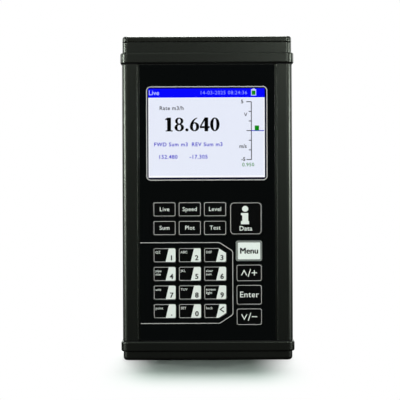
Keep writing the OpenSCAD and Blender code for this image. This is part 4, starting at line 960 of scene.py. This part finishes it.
# Its fade along each axis, in metres: how far to each side it starts and is full, and its middle
FADE = {"X": (0.025, 0.061, -0.002), "Y": (0.062, 0.135, 0.0)}
floor_card, tree, place = blank("white_card")
fibres = add(tree, "ShaderNodeTexNoise", {"Vector": place, "Scale": per_mm(FIBRE), "Detail": 3.0})
tone = add(tree, "ShaderNodeMix", {0: fibres, 6: srgb("#e2f2e9"), 7: srgb("#dfefe6")}, data_type="RGBA")
leant = add(tree, "ShaderNodeCombineXYZ", {"Y": math.sin(CARD_LEAN), "Z": math.cos(CARD_LEAN)})
matt = add(tree, "ShaderNodeBsdfDiffuse", {"Color": tone, "Normal": leant})
spread = add(tree, "ShaderNodeSeparateXYZ", {"Vector": place})
shown = []
for axis, (start, end, middle) in FADE.items():
    away = add(tree, "ShaderNodeMath", {0: spread.outputs[axis], 1: middle}, operation="SUBTRACT")
    away = add(tree, "ShaderNodeMath", {0: away}, operation="ABSOLUTE")
    shown.append(add(tree, "ShaderNodeMapRange", {
        "Value": away, "From Min": start, "From Max": end, "To Min": 1.0, "To Max": 0.0},
        interpolation_type="SMOOTHSTEP"))
left = add(tree, "ShaderNodeMath", {0: shown[0], 1: shown[1]}, operation="MULTIPLY")
lost = add(tree, "ShaderNodeMath", {0: 1.0, 1: left}, operation="SUBTRACT")
seen = add(tree, "ShaderNodeMath", {
    0: lost, 1: add(tree, "ShaderNodeLightPath").outputs["Is Camera Ray"]}, operation="MULTIPLY")
paper_white = add(tree, "ShaderNodeEmission", {"Color": srgb("#ffffff"), "Strength": 1.0})
finish_with(tree, add(tree, "ShaderNodeMixShader", {0: seen, 1: matt, 2: paper_white}))
card = bpy.data.meshes.new("floor")
card.from_pydata([(-CARD_HALF, -CARD_HALF, 0), (CARD_HALF, -CARD_HALF, 0), (CARD_HALF, CARD_HALF, 0),
                  (-CARD_HALF, CARD_HALF, 0)], [], [(0, 1, 2, 3)])
card.materials.append(floor_card)
floor = in_scene("floor", card)
floor.visible_glossy = False
floor.visible_diffuse = False

# The room is dark, but for a white backdrop behind the object, which lights its edges, and a soft light
# overhead and in front, seen only in gloss, for the caps' rounded upper rims. Each glow grows from nothing to
# full as the part of a ray's way that runs up, and the part that runs to the rear, go through a range
ROOM_DARK, BACKDROP_GLOW, RIM_GLOW = 0.015, 2.2, 0.85
BACKDROP_UP, BACKDROP_REAR = (-0.1, 0.2), (0.3, 0.8)
RIM_UP, RIM_REAR = (0.35, 0.6), (0.3, -0.1)
world = bpy.data.worlds.new("studio")
bpy.context.scene.world = world
world.use_nodes = True
tree = world.node_tree
tree.nodes.clear()
way = add(tree, "ShaderNodeSeparateXYZ", {"Vector": add(tree, "ShaderNodeTexCoord").outputs["Generated"]})
ray = add(tree, "ShaderNodeLightPath")
glows = []
for upward, rearward, dark, full in ((BACKDROP_UP, BACKDROP_REAR, ROOM_DARK, BACKDROP_GLOW),
                                     (RIM_UP, RIM_REAR, 0.0, RIM_GLOW)):
    high = add(tree, "ShaderNodeMapRange", {
        "Value": way.outputs["Z"], "From Min": upward[0], "From Max": upward[1], "To Min": 0.0,
        "To Max": full})
    glows.append(add(tree, "ShaderNodeMapRange", {
        "Value": way.outputs["Y"], "From Min": rearward[0], "From Max": rearward[1], "To Min": dark,
        "To Max": high}))
in_gloss = add(tree, "ShaderNodeMath", {0: glows[1], 1: ray.outputs["Is Glossy Ray"]}, operation="MULTIPLY")
light = add(tree, "ShaderNodeMath", {0: glows[0], 1: in_gloss}, operation="ADD")
room = add(tree, "ShaderNodeBackground", {"Color": srgb("#eef4f0"), "Strength": light})
backdrop = add(tree, "ShaderNodeBackground", {"Color": srgb("#ffffff"), "Strength": 1.0})
both = add(tree, "ShaderNodeMixShader", {0: ray.outputs["Is Camera Ray"], 1: room, 2: backdrop})
add(tree, "ShaderNodeOutputWorld", {"Surface": both})

bpy.context.scene.view_settings.view_transform = "Standard"
